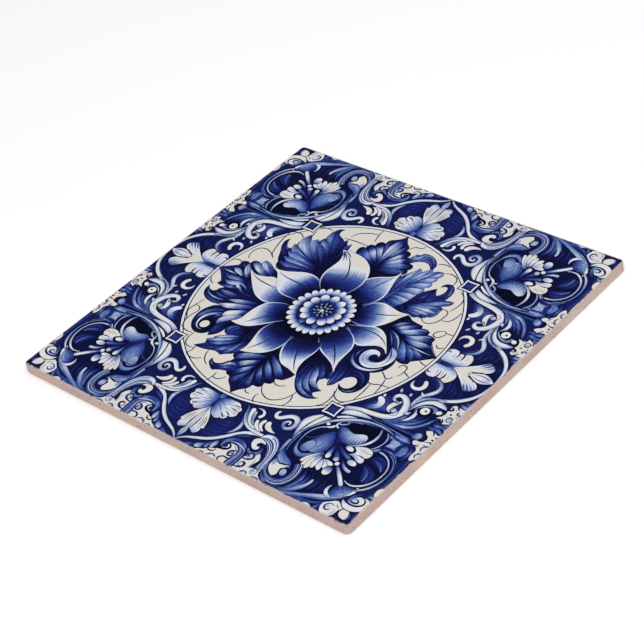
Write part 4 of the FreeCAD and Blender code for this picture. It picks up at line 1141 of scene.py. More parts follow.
centre.strokes([
    ([(-30, 1), (-40, 0.5), (-49.5, 0.8)], (0.6, 0.6, 0.2), INK),
    ([(-41.6, 0.6), (-44.6, 0.8), (-48, 0.8)], (0.15, 0.55, 0.15), (SKY, WHITE, SKY)),
    ([(-34.6, 7.2), (-36.2, 8.4), (-38, 9.8)], (0.15, 0.4, 0.3), (DEEP, INK, INK)),
    ([(-31.4, 8.9), (-34, 10), (-36.4, 11.2)], (0.15, 0.35, 0.15), (DEEP, NAVY, DEEP)),
    ([(-31.6, 7.4), (-34.4, 8.8), (-36.8, 10.8)], (0.15, 0.45, 0.15), (SKY, WHITE, PALE)),
    ([(-33.4, 5.6), (-36.4, 6.6), (-39, 8.4)], (0.15, 0.45, 0.15), (BLUE, WHITE, PALE)),
    ([(-32.6, 6.4), (-35.4, 7), (-38, 8.6)], (0.15, 0.3, 0.15), (DEEP, BLUE, SKY)),
    ([(-39.4, 3.6), (-40.8, 5.4), (-41.4, 7)], (0.15, 0.3, 0.15), (BLUE, DEEP, BLUE)),
    ([(-37.4, -3.2), (-36.6, -4.4), (-35.6, -5.4)], (0.3, 0.9, 0.2), (PALE, WHITE, SKY)),
    ([(-37.8, -4), (-36, -4.2), (-34.4, -5.4), (-32, -6.4)], (0.3, 0.7, 0.6, 0.2),
     (PALE, PALE, SKY, DEEP)),
    ([(-36.8, -2.6), (-34.4, -3.2), (-31.6, -4.8)], (0.3, 0.7, 0.2), (PALE, SKY, DEEP)),
    ([(-34, -1.6), (-31.6, -2.4), (-28.6, -4.4)], (0.2, 0.5, 0.2), (DEEP, BLUE, DEEP)),
    ([(-36, -6.8), (-32, -7.4), (-26, -6.8)], (0.2, 0.5, 0.2), (NAVY, DEEP, NAVY)),
])
print(len(marks), "marks with the left leaf")

# %% [markdown]
# The right leaf answers the left one. Its upper lobes are pale and overlap like feathers, and its
# lower ones turn away into the dark.

# %% Right leaf
centre.blade(
    [(20, 6), (25, 10), (27, 11.7), (29.6, 12.1), (32, 11.8), (32, 11.8), (33.6, 11.6), (35.8, 11.5),
     (35.8, 11.5), (36.2, 10.2), (36.2, 10.2), (38, 10.6), (40, 10), (40, 10), (40.2, 8.5), (40.2, 8.5),
     (42, 8.6), (43.9, 8), (43.9, 8), (43.9, 6.2), (43.9, 6.2), (46, 4), (50.2, 0.7)],
    [(20, 0), (28, -1), (34, -3), (38, -6.4), (41.4, -7.4), (43.6, -6.6), (43.6, -6.6), (43.6, -5),
     (43.6, -5), (46, -3), (50.2, 0.7)],
    (INK, 0.93, NAVY, NAVY), ink=0.15)
fronds([
    ([(26.4, 6.6), (28, 9), (30.4, 10.8), (32, 11.6)], [(26.6, 5.8), (29.6, 8), (31.6, 9.8), (32, 11.6)],
     (NAVY, SKY, SKY, DEEP, INK)),
    ([(28, 6.4), (31, 8.8), (33.4, 10.6), (35.8, 11.3)],
     [(28.4, 5.4), (32.4, 7.2), (34.8, 9.4), (35.8, 11.3)], (DEEP, PALE, SKY, DEEP, INK)),
    ([(30, 5.6), (33.6, 7.8), (36.4, 9.6), (39.4, 10.2)],
     [(30.4, 4.8), (35, 5.8), (38.2, 7.4), (40, 9), (39.4, 10.2)], (DEEP, PALE, PALE, SKY, DEEP, NAVY)),
    ([(33.4, 4.8), (37, 6), (40, 7.6), (43, 8.2)],
     [(34.2, 3.8), (38.4, 4.2), (41.4, 5.2), (43.8, 6.8), (43, 8.2)], (DEEP, SKY, PALE, SKY, DEEP, NAVY)),
    ([(34.6, 3.6), (38.4, 4), (41.6, 4.6), (45.4, 4)], [(35.4, 2.2), (38.6, 1.9), (42, 2), (45.4, 4)],
     (DEEP, SKY, PALE, SKY, DEEP)),
    ([(27.4, 4.6), (31, 3.2), (34, 0.4), (35.6, -3.4)],
     [(27, 4), (29.4, 2), (31.6, -0.6), (33, -2.8), (35.6, -3.4)], (NAVY, DEEP, DEEP, NAVY)),
    ([(35.4, 1.8), (37.8, -0.4), (39.8, -3), (42.2, -6.6)],
     [(33.4, 2.8), (35.4, 0), (36.8, -3), (39, -6), (42.2, -6.6)], (DEEP, SKY, SKY, BLUE, NAVY)),
    ([(38.4, 1.2), (41, -0.6), (43, -2.8), (43.4, -5)], [(36, 1.6), (38.6, -0.8), (40.4, -3), (43.4, -5)],
     (DEEP, SKY, BLUE, DEEP)),
    ([(40.6, 0.6), (43.4, -0.2), (45.6, -1.4), (46.2, -2.4)],
     [(39, 0.6), (41.6, -0.9), (43.8, -2.8), (46.2, -2.4)], (DEEP, SKY, BLUE, NAVY)),
])
centre.strokes([
    ([(26, 5.6), (30, 4.4), (34, 2.9), (38, 1.5), (49.5, 0.8)], (0.7, 0.7, 0.6, 0.5, 0.2), INK),
    ([(38, 1.2), (42, 0.8), (47.6, 0.8)], (0.15, 0.5, 0.15), (SKY, WHITE, SKY)),
    ([(34, 8.1), (36, 9.3), (38.6, 10)], (0.15, 0.3, 0.15), PALE),
    ([(37.4, 6.2), (39.6, 7.4), (42, 8)], (0.15, 0.3, 0.15), PALE),
    ([(44.4, 5.2), (46.8, 3), (49.2, 1.2)], (0.15, 0.35, 0.15), SKY),
    ([(28, 4.4), (31.6, 2.8), (34.4, 0), (36.4, -3.6)], (0.2, 0.6, 0.5, 0.2), (BLUE, PALE, PALE, SKY)),
    ([(28, 3.4), (30.6, 1), (32.8, -1.8)], (0.2, 0.4, 0.2), (BLUE, SKY, BLUE)),
])
print(len(marks), "marks with the right leaf")

# %% [markdown]
# The largest leaf fans out from behind the flower at the upper left. Its edge is a row of hooked
# tips, so many points of the silhouette are corners, which are written twice.

# %% Great acanthus at the upper left
centre.blade(
    [(-9, 12), (-14, 18), (-14, 26), (-15, 32), (-15, 32), (-16, 34.6), (-16, 34.6), (-16.6, 33.2),
     (-16.6, 33.2), (-17.6, 34.4), (-18.8, 36.3), (-18.8, 36.3), (-19.4, 34.9), (-19.4, 34.9),
     (-21, 35.9), (-23.2, 36.8), (-25, 38.8), (-23.4, 40.4), (-23.4, 40.4), (-25.4, 40), (-26.5, 38)],
    [(-9, 12), (-20, 11.8), (-27, 11.4), (-31.6, 11), (-33.4, 14), (-33.4, 14), (-34.8, 15.6),
     (-34.8, 15.6), (-37, 19.5), (-38.8, 22.4), (-39.3, 24.8), (-38.4, 26.5), (-38.4, 26.5),
     (-37.4, 23.6), (-35.6, 22), (-34, 22.6), (-34, 22.6), (-34.9, 24.8), (-34.9, 24.8), (-33.8, 24.9),
     (-33.8, 24.9), (-34.2, 28), (-32.8, 32.2), (-32.8, 32.2), (-31.6, 30), (-30.4, 28.8), (-30.4, 28.8),
     (-29.4, 29.6), (-28.5, 31.2), (-28.5, 31.2), (-27.8, 30), (-27.8, 30), (-27.3, 32.7), (-27.3, 32.7),
     (-26.4, 32.2), (-26.4, 32.2), (-27, 35), (-26.5, 38)],
    (INK, 0.92, 0.8, 0.78), ink=0.1)
fronds([
    ([(-16.6, 26), (-17.4, 31), (-15.9, 35)], [(-14.6, 26.6), (-14.8, 31), (-15.9, 35)],
     (NAVY, DEEP, 0.5)),
    ([(-18.2, 26), (-20.2, 32), (-18.7, 36.3)], [(-16.4, 26.6), (-17.2, 32), (-18.7, 36.3)],
     (NAVY, 0.78, DEEP)),
    ([(-18.6, 24.8), (-22, 31), (-24, 35), (-25.4, 38.4), (-24, 40.3)],
     [(-17.4, 26), (-19.4, 32), (-20.6, 35.4), (-23.2, 36.6), (-24.4, 38.6), (-24, 40.3)],
     (NAVY, DEEP, 0.62, DEEP, NAVY)),
    ([(-19, 23.6), (-23.8, 29.6), (-26.4, 33.6), (-27, 37), (-25.2, 39.6)],
     [(-18, 25), (-21.4, 30.6), (-23.8, 34.6), (-25.2, 37), (-25.2, 39.6)],
     (NAVY, DEEP, BLUE, 0.44, BLUE, NAVY)),
    ([(-18.6, 22.4), (-23.4, 27.2), (-26.4, 29.8), (-27.3, 32.7)],
     [(-18.2, 23.8), (-21.4, 28.8), (-24.2, 31.6), (-27.3, 32.7)], (NAVY, 0.66, 0.46, SKY, DEEP)),
    ([(-19, 20.8), (-23.6, 24.6), (-26.4, 26.8), (-26.4, 29)],
     [(-18.4, 22.6), (-21.8, 27), (-24.2, 29), (-26.4, 29)], (NAVY, 0.68, 0.5, BLUE)),
    ([(-20.6, 20.2), (-26.4, 24), (-29.8, 27), (-30.4, 28.8), (-28.5, 31.2)],
     [(-19.8, 21.4), (-24, 25.6), (-26.4, 28.4), (-28.5, 31.2)], (NAVY, 0.66, 0.46, 0.36, 0.5)),
    ([(-21.6, 19.4), (-28.8, 22), (-33.2, 25), (-34.2, 28.4), (-32.7, 32.2)],
     [(-21, 20.6), (-26.8, 24.6), (-29.8, 27.6), (-31.2, 30), (-32.7, 32.2)],
     (NAVY, BLUE, 0.34, 0.26, 0.42, DEEP)),
    ([(-21, 18.6), (-28, 19.8), (-33.2, 21.2), (-34.8, 24.8)],
     [(-21, 19.8), (-28, 22.2), (-32.4, 24.2), (-34.8, 24.8)], (NAVY, 0.64, 0.44, 0.5)),
    ([(-19, 17.4), (-27, 17.4), (-31.4, 18.2), (-34, 20.2)],
     [(-19, 18.9), (-27, 20.2), (-31, 21.2), (-34, 20.2)], (NAVY, 0.5, 0.32, 0.5)),
    ([(-17.6, 15.8), (-26, 15.4), (-30.4, 15.6), (-33.6, 17.4)],
     [(-17.6, 17.4), (-26, 17.8), (-30.4, 18.2), (-33.6, 17.4)], (NAVY, 0.5, 0.34, 0.6)),
    ([(-17.6, 14.6), (-26, 13.2), (-30.4, 13), (-33.2, 14.6)],
     [(-17.6, 16.2), (-26, 15.8), (-30.4, 15.6), (-33.2, 14.6)], (NAVY, 0.6, 0.48, DEEP)),
    ([(-19, 13.6), (-26, 11.8), (-31.6, 11.4)], [(-19, 14.8), (-26, 13.6), (-31.6, 11.4)],
     (NAVY, DEEP, NAVY)),
])
centre.strokes([
    ([(-33.6, 17.8), (-36.6, 20.2), (-38.4, 23.6), (-38.4, 26)], (1.4, 1.7, 1.1, 0.3),
     (NAVY, DEEP, NAVY, INK)),
    ([(-34, 21), (-36, 21.6), (-37.4, 23.4)], (0.3, 0.9, 0.3), (DEEP, BLUE, DEEP)),
    ([(-20, 18.4), (-26, 19), (-31.6, 20.2)], (0.15, 0.5, 0.15), (DEEP, PALE, SKY)),
    ([(-19, 16.8), (-25, 16.6), (-31, 17)], (0.15, 0.5, 0.15), (DEEP, PALE, SKY)),
    ([(-21, 14.8), (-26, 14.4), (-30, 14.4)], (0.15, 0.4, 0.15), (DEEP, SKY, BLUE)),
    ([(-24, 20.4), (-29, 21.6), (-33, 23.2)], (0.15, 0.4, 0.15), (DEEP, PALE, SKY)),
    ([(-25, 22.2), (-29.8, 24.6), (-32.8, 27.8)], (0.15, 0.7, 0.2), (BLUE, 0.14, PALE)),
    ([(-24.6, 25), (-27.6, 27.4), (-28.6, 29.6)], (0.15, 0.6, 0.2), (BLUE, PALE, SKY)),
    ([(-22.4, 27.6), (-24.6, 29.6), (-26.6, 31.4)], (0.15, 0.5, 0.15), (BLUE, PALE, SKY)),
    ([(-23, 31), (-25, 34), (-25.9, 37)], (0.15, 0.5, 0.2), (BLUE, PALE, BLUE)),
])
print(len(marks), "marks with the great acanthus")

# %% [markdown]
# At the upper right a pale leaf stands before a dark curl. The curl is laid first, then the leaf
# over it, and each lobe is lighter than the dark that it springs from.

# %% Pale leaf at the upper right
centre.blade([(7, 36), (8, 38.6), (9.2, 42), (9.2, 42), (10.2, 42), (11, 43.4), (11, 43.4), (14, 43.8),
              (17.2, 42.4), (19.4, 39.4), (18.9, 37)],
             [(7, 36), (9, 36.8), (10.2, 37), (10.2, 37), (11.4, 38.4), (13.8, 39.7), (16.2, 39.6),
              (17.6, 38.6), (18.9, 37)],
             (NAVY, DEEP, BLUE, DEEP, NAVY), ink=0.15)
centre.strokes([
    ([(8.6, 38.6), (9.4, 40.4), (9.3, 41.6)], (0.3, 0.8, 0.2), (BLUE, PALE, SKY)),
    ([(9, 38.4), (11, 41), (12, 43)], (0.3, 1.0, 0.3), (BLUE, PALE, SKY)),
    ([(9.6, 38), (12.4, 41), (14.6, 42.6)], (0.3, 0.9, 0.2), (BLUE, SKY, BLUE)),
    ([(12, 42.6), (14.6, 43.2), (17, 41.6), (18.6, 39.4)], (0.2, 0.5, 0.5, 0.2), (PALE, SKY, BLUE)),
    ([(10, 37.8), (12.6, 39.8), (15.6, 40.4), (18, 38.8)], (0.2, 0.4, 0.4, 0.2), (BLUE, SKY, BLUE)),
])
centre.blade(
    [(12.5, 12), (13.4, 18), (12, 24), (11.9, 28), (12.8, 31.2), (14.2, 33.6), (15.3, 36.2), (15.3, 36.2),
     (17, 34.8), (17, 34.8), (18.2, 36.4), (19.4, 38.2), (19.4, 38.2), (20.4, 36.4), (20.4, 36.4),
     (22, 37.8), (24.2, 38.2)],
    [(12.5, 12), (19, 14), (22, 15.6), (22, 15.6), (22.2, 17.4), (22.2, 17.4), (23.8, 18.8), (23.6, 20.2),
     (23.6, 20.2), (24.2, 21.8), (23.8, 23.4), (23.8, 23.4), (24.4, 25.2), (24, 27.2), (24, 27.2),
     (22.8, 28.2), (22.8, 28.2), (24, 29), (24.6, 30.6), (24.6, 30.6), (23.8, 31.8), (23.8, 31.8),
     (24.5, 33), (24.1, 34.6), (24.1, 34.6), (24.8, 36.2), (24.2, 38.2)],
    (NAVY, BLUE, SKY, SKY, BLUE), ink=0.12)
fronds([
    ([(13.6, 20), (12.2, 24), (12, 27.6), (12.9, 31)], [(14.6, 20), (13.6, 24), (13.6, 28), (12.9, 31)],
     (NAVY, DEEP, BLUE, DEEP)),
    ([(14, 21), (13.4, 26), (13.8, 31), (15.2, 36)], [(15.4, 21), (15, 26), (15.4, 31), (15.2, 36)],
     (DEEP, BLUE, PALE, SKY)),
    ([(15, 22), (15.2, 27), (16.6, 32), (19.2, 37.8)], [(16.2, 23), (17, 28), (18.4, 32), (19.2, 37.8)],
     (DEEP, BLUE, PALE, SKY)),
    ([(16.6, 25), (17.8, 30), (19.4, 34), (22.4, 37.6)],
     [(17.4, 26), (19.2, 31), (20.8, 34.6), (22.4, 37.6)], (DEEP, SKY, PALE, BLUE)),
    ([(15, 17.6), (18, 18), (21.8, 17.6)],
     [(14.8, 16), (18, 15.8), (20.6, 15.4), (22.2, 16.4), (21.8, 17.6)], (NAVY, BLUE, SKY, SKY)),
    ([(15.4, 19.4), (18.6, 20.2), (23.4, 20.2)],
     [(15, 17.8), (18.6, 18.2), (22.4, 17.8), (23.9, 18.9), (23.4, 20.2)], (DEEP, SKY, PALE, SKY)),
    ([(15.9, 21.6), (19, 22.8), (23.6, 23.6)],
     [(15.5, 19.6), (19, 20.4), (23, 20.6), (24.2, 22), (23.6, 23.6)], (DEEP, SKY, PALE, SKY)),
    ([(16.6, 24.2), (20, 26.2), (23.8, 27.2)],
     [(16, 21.8), (19.6, 23), (23.4, 24), (24.3, 25.6), (23.8, 27.2)], (DEEP, SKY, PALE, SKY)),
    ([(17.6, 27), (20.6, 29.6), (24.4, 31)],
     [(16.8, 24.6), (20.2, 26.6), (23, 28), (24.7, 29.6), (24.4, 31)], (DEEP, SKY, PALE, SKY)),
    ([(18.8, 30), (21, 32.8), (24, 34.4)],
     [(17.8, 27.6), (20.8, 30), (23.4, 31.6), (24.5, 33), (24, 34.4)], (DEEP, SKY, PALE, SKY)),
    ([(20, 32.6), (21.6, 35.4), (24.2, 38)],
     [(19, 30.6), (21.4, 33.2), (23.6, 34.8), (24.7, 36.4), (24.2, 38)], (BLUE, SKY, PALE, SKY)),
])
centre.stroke([(14.6, 17), (16, 24), (19, 31), (22.6, 36.4)], (0.7, 0.5, 0.4, 0.2), BLUE)
print(len(marks), "marks with the pale leaf")

# %% [markdown]
# Two leaves fill the right: one rolls its dark tip into a hook, and one spreads five fingers. Single
# strokes with a swelling width are enough for both.

# %% Curled and fingered leaves at the right
centre.blade(
    [(20, 13), (22.8, 20), (24, 25.4), (26, 28.2), (27.5, 30), (27.5, 30), (28.6, 27.8), (29.6, 26.8),
     (30.8, 28), (31.2, 30.4), (30.2, 32.4), (28.3, 31.3)],
    [(20, 13), (28, 18), (31.6, 22), (33.4, 25), (34.1, 28.8), (33.2, 32.4), (30.8, 34.1), (28.7, 33.2),
     (28.3, 31.3)],
    (INK, NAVY, DEEP, DEEP, NAVY), ink=0.15)
lobes([
    ([(25.4, 21.5), (26.4, 25), (27.4, 28.8)], 1.3, (NAVY, BLUE, DEEP, NAVY)),
    ([(27.6, 21.5), (29.6, 24.4), (32.2, 27)], 1.4, (NAVY, BLUE, DEEP, DEEP)),
    ([(33, 26.6), (33.2, 30), (32, 32.6), (29.8, 33.2)], 0.9, (DEEP, SKY, BLUE, DEEP)),
])
centre.blade(
    [(21, 16), (26, 20), (29, 21.8), (32, 24.6), (34.4, 26.2), (37.4, 26.7), (37.4, 26.7), (37, 24.8),
     (35.6, 23.6), (34.2, 22.4), (34.2, 22.4), (36, 21.9), (36, 20.6)],
    [(21, 16), (25, 14), (28, 14.2), (28, 14.2), (29.6, 13.6), (31, 14.6), (31, 14.6), (33, 14.9),
     (34, 16.2), (34, 16.2), (35.6, 17), (36.2, 18.8), (36, 20.6)],
    (NAVY, DEEP, BLUE, SKY), ink=0.2)
lobes([
    ([(23, 17.6), (29, 20.6), (33.4, 24), (37, 26.2)], 2.4, (NAVY, BLUE, SKY, SKY)),
    ([(23.4, 17.4), (29, 19.6), (35.6, 21.8)], 1.9, (NAVY, SKY, SKY, BLUE)),
    ([(23.6, 17), (30, 18.6), (35.6, 19)], 2.0, (NAVY, SKY, PALE, SKY)),
    ([(24, 16.4), (29.6, 17), (34.6, 17)], 1.6, (NAVY, SKY, PALE, BLUE)),
    ([(24, 15.6), (28, 15.6), (32.4, 15.2)], 1.3, (NAVY, BLUE, SKY, DEEP)),
])
print(len(marks), "marks with the fingered leaf")

# %% [markdown]
# Below, the leaves turn into scrolls: a ribbon that rolls up round a spot of bare glaze, a white
# volute, and a fan of feathers. The volute needs a dark edge, so a dark disc goes down before it.

# %% Scrolls at the lower right
centre.blade([(16, -8), (19, -18), (22.6, -22), (24, -25.4), (25, -26.6), (25, -26.6), (25.8, -25.6),
              (25.8, -25.6), (26.2, -27.4), (27, -28.6)],
             [(16, -8), (30, -14), (31.4, -19), (30.4, -22.6), (29, -25.4), (28.4, -27.4), (27, -28.6)],
             (INK, NAVY, NAVY, DEEP), ink=0.12)
centre.bead((32.4, -24), (5.6, 5.6), CREAM)
centre.blade([(24, -15), (30, -17), (34, -15.8), (36.6, -18), (38, -20.6), (38.2, -24), (36.8, -27),
              (34, -28.5), (31.6, -28), (30, -26)],
             [(24, -15), (28, -20), (30.2, -22.2), (31.2, -21.2), (33, -20.8), (35, -22.4), (35.2, -24.6),
              (34.2, -26.4), (32.4, -27), (30, -26)],
             (INK, NAVY, NAVY, INK, NAVY), ink=0.15)
centre.strokes([
    ([(30, -18.6), (33.4, -18.4), (36, -20.4), (37, -23.4)], (0.2, 0.5, 0.5, 0.2), (DEEP, BLUE, DEEP)),
    ([(31.4, -20.2), (33.6, -19.6), (35.6, -21.4)], (0.2, 0.4, 0.2), DEEP),
    ([(36.8, -25), (35.2, -27.2), (32.6, -27.7)], (0.2, 0.6, 0.3), (BLUE, SKY, BLUE)),
])
centre.strokes([
    ([(23.4, -20), (24.4, -23), (25, -26)], (0.3, 0.9, 0.3), (NAVY, BLUE, DEEP)),
    ([(25.2, -18), (26.2, -22.6), (26.8, -27.8)], (0.3, 1.0, 0.4), (NAVY, DEEP, BLUE, SKY)),
    ([(26.8, -18), (27.8, -22.4), (27.8, -27)], (0.3, 0.9, 0.3), (NAVY, BLUE, BLUE)),
    ([(28.4, -17.6), (29.4, -21), (28.8, -24.6)], (0.2, 0.6, 0.2), (NAVY, DEEP, DEEP)),
])
centre.bead((31.2, -9.4), (17.2, 15.6), 0.91, -20)
centre.stroke([(24.2, -11.2), (25.6, -14), (28.4, -15.9), (31.6, -16.3), (35, -15.2), (37.5, -12.6)],
              (0.3, 0.9, 1.1, 1.0, 0.7, 0.3), (BLUE, PALE, WHITE, CREAM, PALE), across=(0.0, 0.2))
centre.blade([(32.8, -8.8), (32.4, -7.2), (30.6, -6.3), (28.4, -6.8), (27, -8.8), (27.1, -11.6),
              (28.8, -13.9), (31.6, -14.9), (35, -13.9), (37.6, -11), (38.5, -7.8), (37.7, -4.8),
              (35.8, -3.1), (33.8, -2.5)],
             [(32.8, -8.8), (31.6, -8.1), (30.4, -8.7), (29.9, -10.2), (30.8, -11.5), (32.6, -11.8),
              (34.6, -10.9), (35.6, -9), (35.4, -7), (34.6, -4.8), (33.8, -2.5)],
             (WHITE, CREAM, WHITE, PALE, PALE, WHITE, CREAM, CREAM, WHITE, PALE, PALE, SKY),
             across=(0.0, 0.02, 0.18))
centre.strokes([
    ([(34.2, -3.6), (36, -5.8), (36.9, -8.6), (36, -11.4)], (0.2, 0.5, 0.4, 0.15), (NAVY, DEEP, SKY)),
    ([(28, -8), (28, -11), (29.8, -13), (33, -13.4), (35.4, -12)], (0.15, 0.3, 0.3, 0.15), SKY),
    ([(26.2, -8), (25.3, -10.4), (26.3, -13)], (0.2, 0.5, 0.2), (DEEP, SKY, DEEP)),
    ([(27, -6.4), (29.4, -5.3), (31.8, -5.8), (33.4, -7.4)], (0.2, 0.5, 0.4, 0.2), (NAVY, DEEP, DEEP)),
])
centre.blade(
    [(8, -12), (16, -19), (21, -20.6), (24, -24), (24.2, -26.2), (24.2, -26.2), (22.8, -27.8),
     (22.8, -27.8), (23.6, -30), (25.4, -31.4), (27.2, -31.6), (27.2, -31.6), (25.2, -33.8),
     (25.2, -33.8), (26.4, -35.2), (28.6, -35)],
    [(8, -12), (13, -20), (13.4, -26), (14.6, -30), (17, -33.6), (20.4, -36.4), (24.4, -37.2),
     (28.6, -35)],
    (INK, INK, NAVY, NAVY, DEEP), ink=0.12)
fronds([
    ([(18.6, -21), (21.6, -23.4), (23, -26), (22.6, -27.6)],
     [(17.8, -22), (20, -24.6), (21.2, -26.8), (22.6, -27.6)], (NAVY, DEEP, BLUE, DEEP)),
    ([(18, -22.4), (20.6, -25.6), (22.4, -29), (26.6, -31.8)],
     [(17.2, -22.6), (18.8, -27), (21, -30.6), (26.6, -31.8)], (NAVY, SKY, PALE, SKY, DEEP)),
    ([(17.4, -23.6), (18.8, -28), (21.4, -31.8), (25.4, -34.2)],
     [(16.6, -23.6), (17.4, -28.6), (20, -33), (25.4, -34.2)], (NAVY, BLUE, SKY, SKY, DEEP)),
    ([(16.4, -24), (17.2, -29), (19.8, -33.4), (28, -35.2)],
     [(15.4, -23), (15.8, -29), (18.4, -34), (23, -36.2), (28, -35.2)], (NAVY, DEEP, SKY, SKY, DEEP)),
    ([(15, -22.6), (15.2, -28), (17.6, -33.4), (22, -36.4)],
     [(14, -23), (14.2, -28), (16.6, -32.8), (22, -36.4)], (NAVY, DEEP, BLUE, DEEP)),
])
print(len(marks), "marks with the scrolls at the lower right")

# %% [markdown]
# The lower left has the same kinds of forms in another order: a hooked leaf, a roll round a white
# eye, pale feathers and a fan. They aren't mirrored but drawn one by one, as the painter varied them.

# %% Scrolls and feathers at the lower left
centre.blade([(-20, -4), (-28, -6), (-36, -7), (-40.4, -7.2), (-40.4, -7.2), (-41.8, -8.8), (-41.8, -8.8),
              (-42, -10), (-43.4, -10.8), (-45, -10.4), (-46.2, -9)],
             [(-20, -4), (-24, -15), (-30, -17), (-35, -15.4), (-39, -15.8), (-43, -14.8), (-45.6, -12.4),
              (-46.2, -9)],
             (INK, NAVY, NAVY, NAVY), ink=0.15)
fronds([
    ([(-32, -8.4), (-37, -8.2), (-41.4, -8.7)], [(-32, -9.6), (-37, -10.2), (-41.4, -8.7)],
     (NAVY, BLUE, SKY, DEEP)),
    ([(-34.4, -10.4), (-38, -10.8), (-41.8, -10.4)], [(-34.4, -12), (-38, -12.4), (-41.8, -10.4)],
     (NAVY, DEEP, BLUE, DEEP)),
])
centre.strokes([
    ([(-35, -14.4), (-39, -14.9), (-43, -13.8), (-45.4, -11.4)], (0.5, 1.2, 0.9, 0.3),
     (DEEP, BLUE, DEEP, NAVY)),
    ([(-36, -12.8), (-40, -13.2), (-43.6, -12.2), (-45.8, -9.8)], (0.3, 0.6, 0.5, 0.2),
     (SKY, PALE, SKY, DEEP)),
    ([(-24, -6.4), (-30, -6.4), (-36, -7.6)], (0.2, 0.6, 0.2), (INK, DEEP, NAVY)),
])
centre.blade([(-24, -14), (-31, -15.6), (-35.8, -16.2), (-38.4, -20), (-38.4, -25), (-36.2, -29),
              (-32.2, -31), (-28.8, -29.6), (-27.8, -26.6)],
             [(-24, -14), (-26, -20), (-26.6, -24), (-27.8, -26.6)], (NAVY, NAVY, NAVY, INK), ink=0.15)
lobes([
    ([(-30, -17), (-34.4, -18.2), (-37.2, -22), (-36.8, -27)], 1.6, (DEEP, BLUE, SKY, NAVY)),
    ([(-29, -18), (-33, -19.6), (-35.6, -23), (-35.2, -27)], 1.2, (DEEP, SKY, PALE, BLUE)),
    ([(-30, -19), (-31.6, -20.6), (-32, -22.4)], 1.6, (BLUE, BLUE, DEEP, NAVY)),
])
centre.bead((-31.8, -25.9), (6.4, 6.6), INK)
centre.stroke([(-31.6, -19.8), (-34.2, -21), (-35.7, -23.6), (-35.5, -26.6), (-33.8, -28.6),
               (-31.6, -29)],
              (0.3, 0.7, 0.9, 0.7, 0.5, 0.2), (SKY, PALE, WHITE, PALE, SKY))
centre.bead((-32.4, -26.1), (3.6, 3.8), CREAM)
fronds([
    ([(-23, -8), (-28, -9), (-31.6, -10.2), (-34.2, -11.6)],
     [(-23, -9.8), (-28, -11), (-31, -11.8), (-34.2, -11.6)], (NAVY, BLUE, PALE, SKY)),
    ([(-23.6, -10.2), (-29, -11.8), (-33, -13.4), (-36, -15.2)],
     [(-23.6, -12.4), (-28.6, -14.4), (-32, -15.6), (-36, -15.2)], (DEEP, SKY, WHITE, SKY)),
    ([(-23, -13), (-27.6, -15), (-30.4, -17.4), (-30, -19.4)],
     [(-23, -15.6), (-26, -17.2), (-27.6, -18.8), (-30, -19.4)], (NAVY, PALE, WHITE, PALE)),
    ([(-23.6, -16), (-27, -18), (-29.8, -21), (-28.8, -24)],
     [(-23.4, -18.4), (-25.4, -19.6), (-27.2, -21.4), (-28.8, -24)], (BLUE, PALE, PALE, BLUE)),
    ([(-24, -19.4), (-27.8, -23), (-28.2, -27), (-27.2, -30)],
     [(-23, -20), (-24, -23), (-24.4, -27), (-27.2, -30)], (INK, NAVY, DEEP, NAVY)),
    ([(-16, -18), (-21, -20.8), (-24, -22.8), (-22.4, -26)],
     [(-16, -18), (-16.4, -24), (-19, -26), (-22.4, -26)], (INK, NAVY, NAVY, DEEP)),
])
centre.blade([(-16.6, -20.4), (-21.6, -20.8), (-23.6, -23), (-23, -25.2), (-21, -26.4)],
             [(-16.6, -20.4), (-16.4, -23.4), (-18, -25.4), (-21, -26.4)], (INK, NAVY, DEEP, DEEP),
             ink=0.12)
centre.strokes([
    ([(-19, -21.6), (-22.2, -22), (-22.8, -23.8), (-21.6, -25.4)], (0.2, 0.7, 0.8, 0.2),
     (DEEP, 0.5, 0.46, DEEP)),
    ([(-18, -21.8), (-20.6, -22.4), (-21.3, -23.8), (-20.4, -25)], (0.2, 0.5, 0.6, 0.2),
     (NAVY, BLUE, BLUE, DEEP)),
    ([(-17.4, -22.6), (-19, -23), (-19.6, -24.2), (-18.8, -25)], (0.2, 0.4, 0.4, 0.2),
     (NAVY, DEEP, DEEP, NAVY)),
])
centre.blade([(-12, -16), (-16.5, -24), (-21.4, -27.8), (-24.6, -30.4), (-26, -31.6), (-26, -31.6),
              (-24.8, -33.4), (-24.8, -33.4), (-27.8, -36.4), (-27.8, -36.4), (-22.4, -36), (-20, -35.2),
              (-20, -35.2), (-18, -35), (-16, -35.6)],
             [(-12, -16), (-11.6, -23), (-10.8, -28), (-11.6, -32), (-13, -33.4), (-13, -33.4),
              (-14, -34), (-16, -35.6)],
             (INK, NAVY, DEEP, DEEP), ink=0.1)
lobes([
    ([(-16, -24.6), (-19.6, -26.8), (-24, -29.4)], 1.7, (DEEP, 0.3, 0.18, 0.34)),
    ([(-15.4, -25), (-20, -28.6), (-25.6, -31.8)], 1.8, (NAVY, 0.34, 0.24, SKY)),
    ([(-14.6, -25.8), (-19.6, -30.6), (-25, -33)], 1.6, (NAVY, BLUE, 0.36, DEEP)),
    ([(-14.4, -27), (-19.4, -33), (-27, -36)], 1.7, (NAVY, DEEP, 0.64, NAVY)),
    ([(-13.6, -26), (-16.2, -31.6), (-20, -34.8)], 1.9, (NAVY, DEEP, SKY, DEEP)),
    ([(-13, -25), (-14, -30.4), (-16, -34.8)], 1.9, (NAVY, BLUE, SKY, DEEP)),
    ([(-12, -24.6), (-12, -29), (-13, -33)], 1.4, (NAVY, DEEP, BLUE, DEEP)),
])
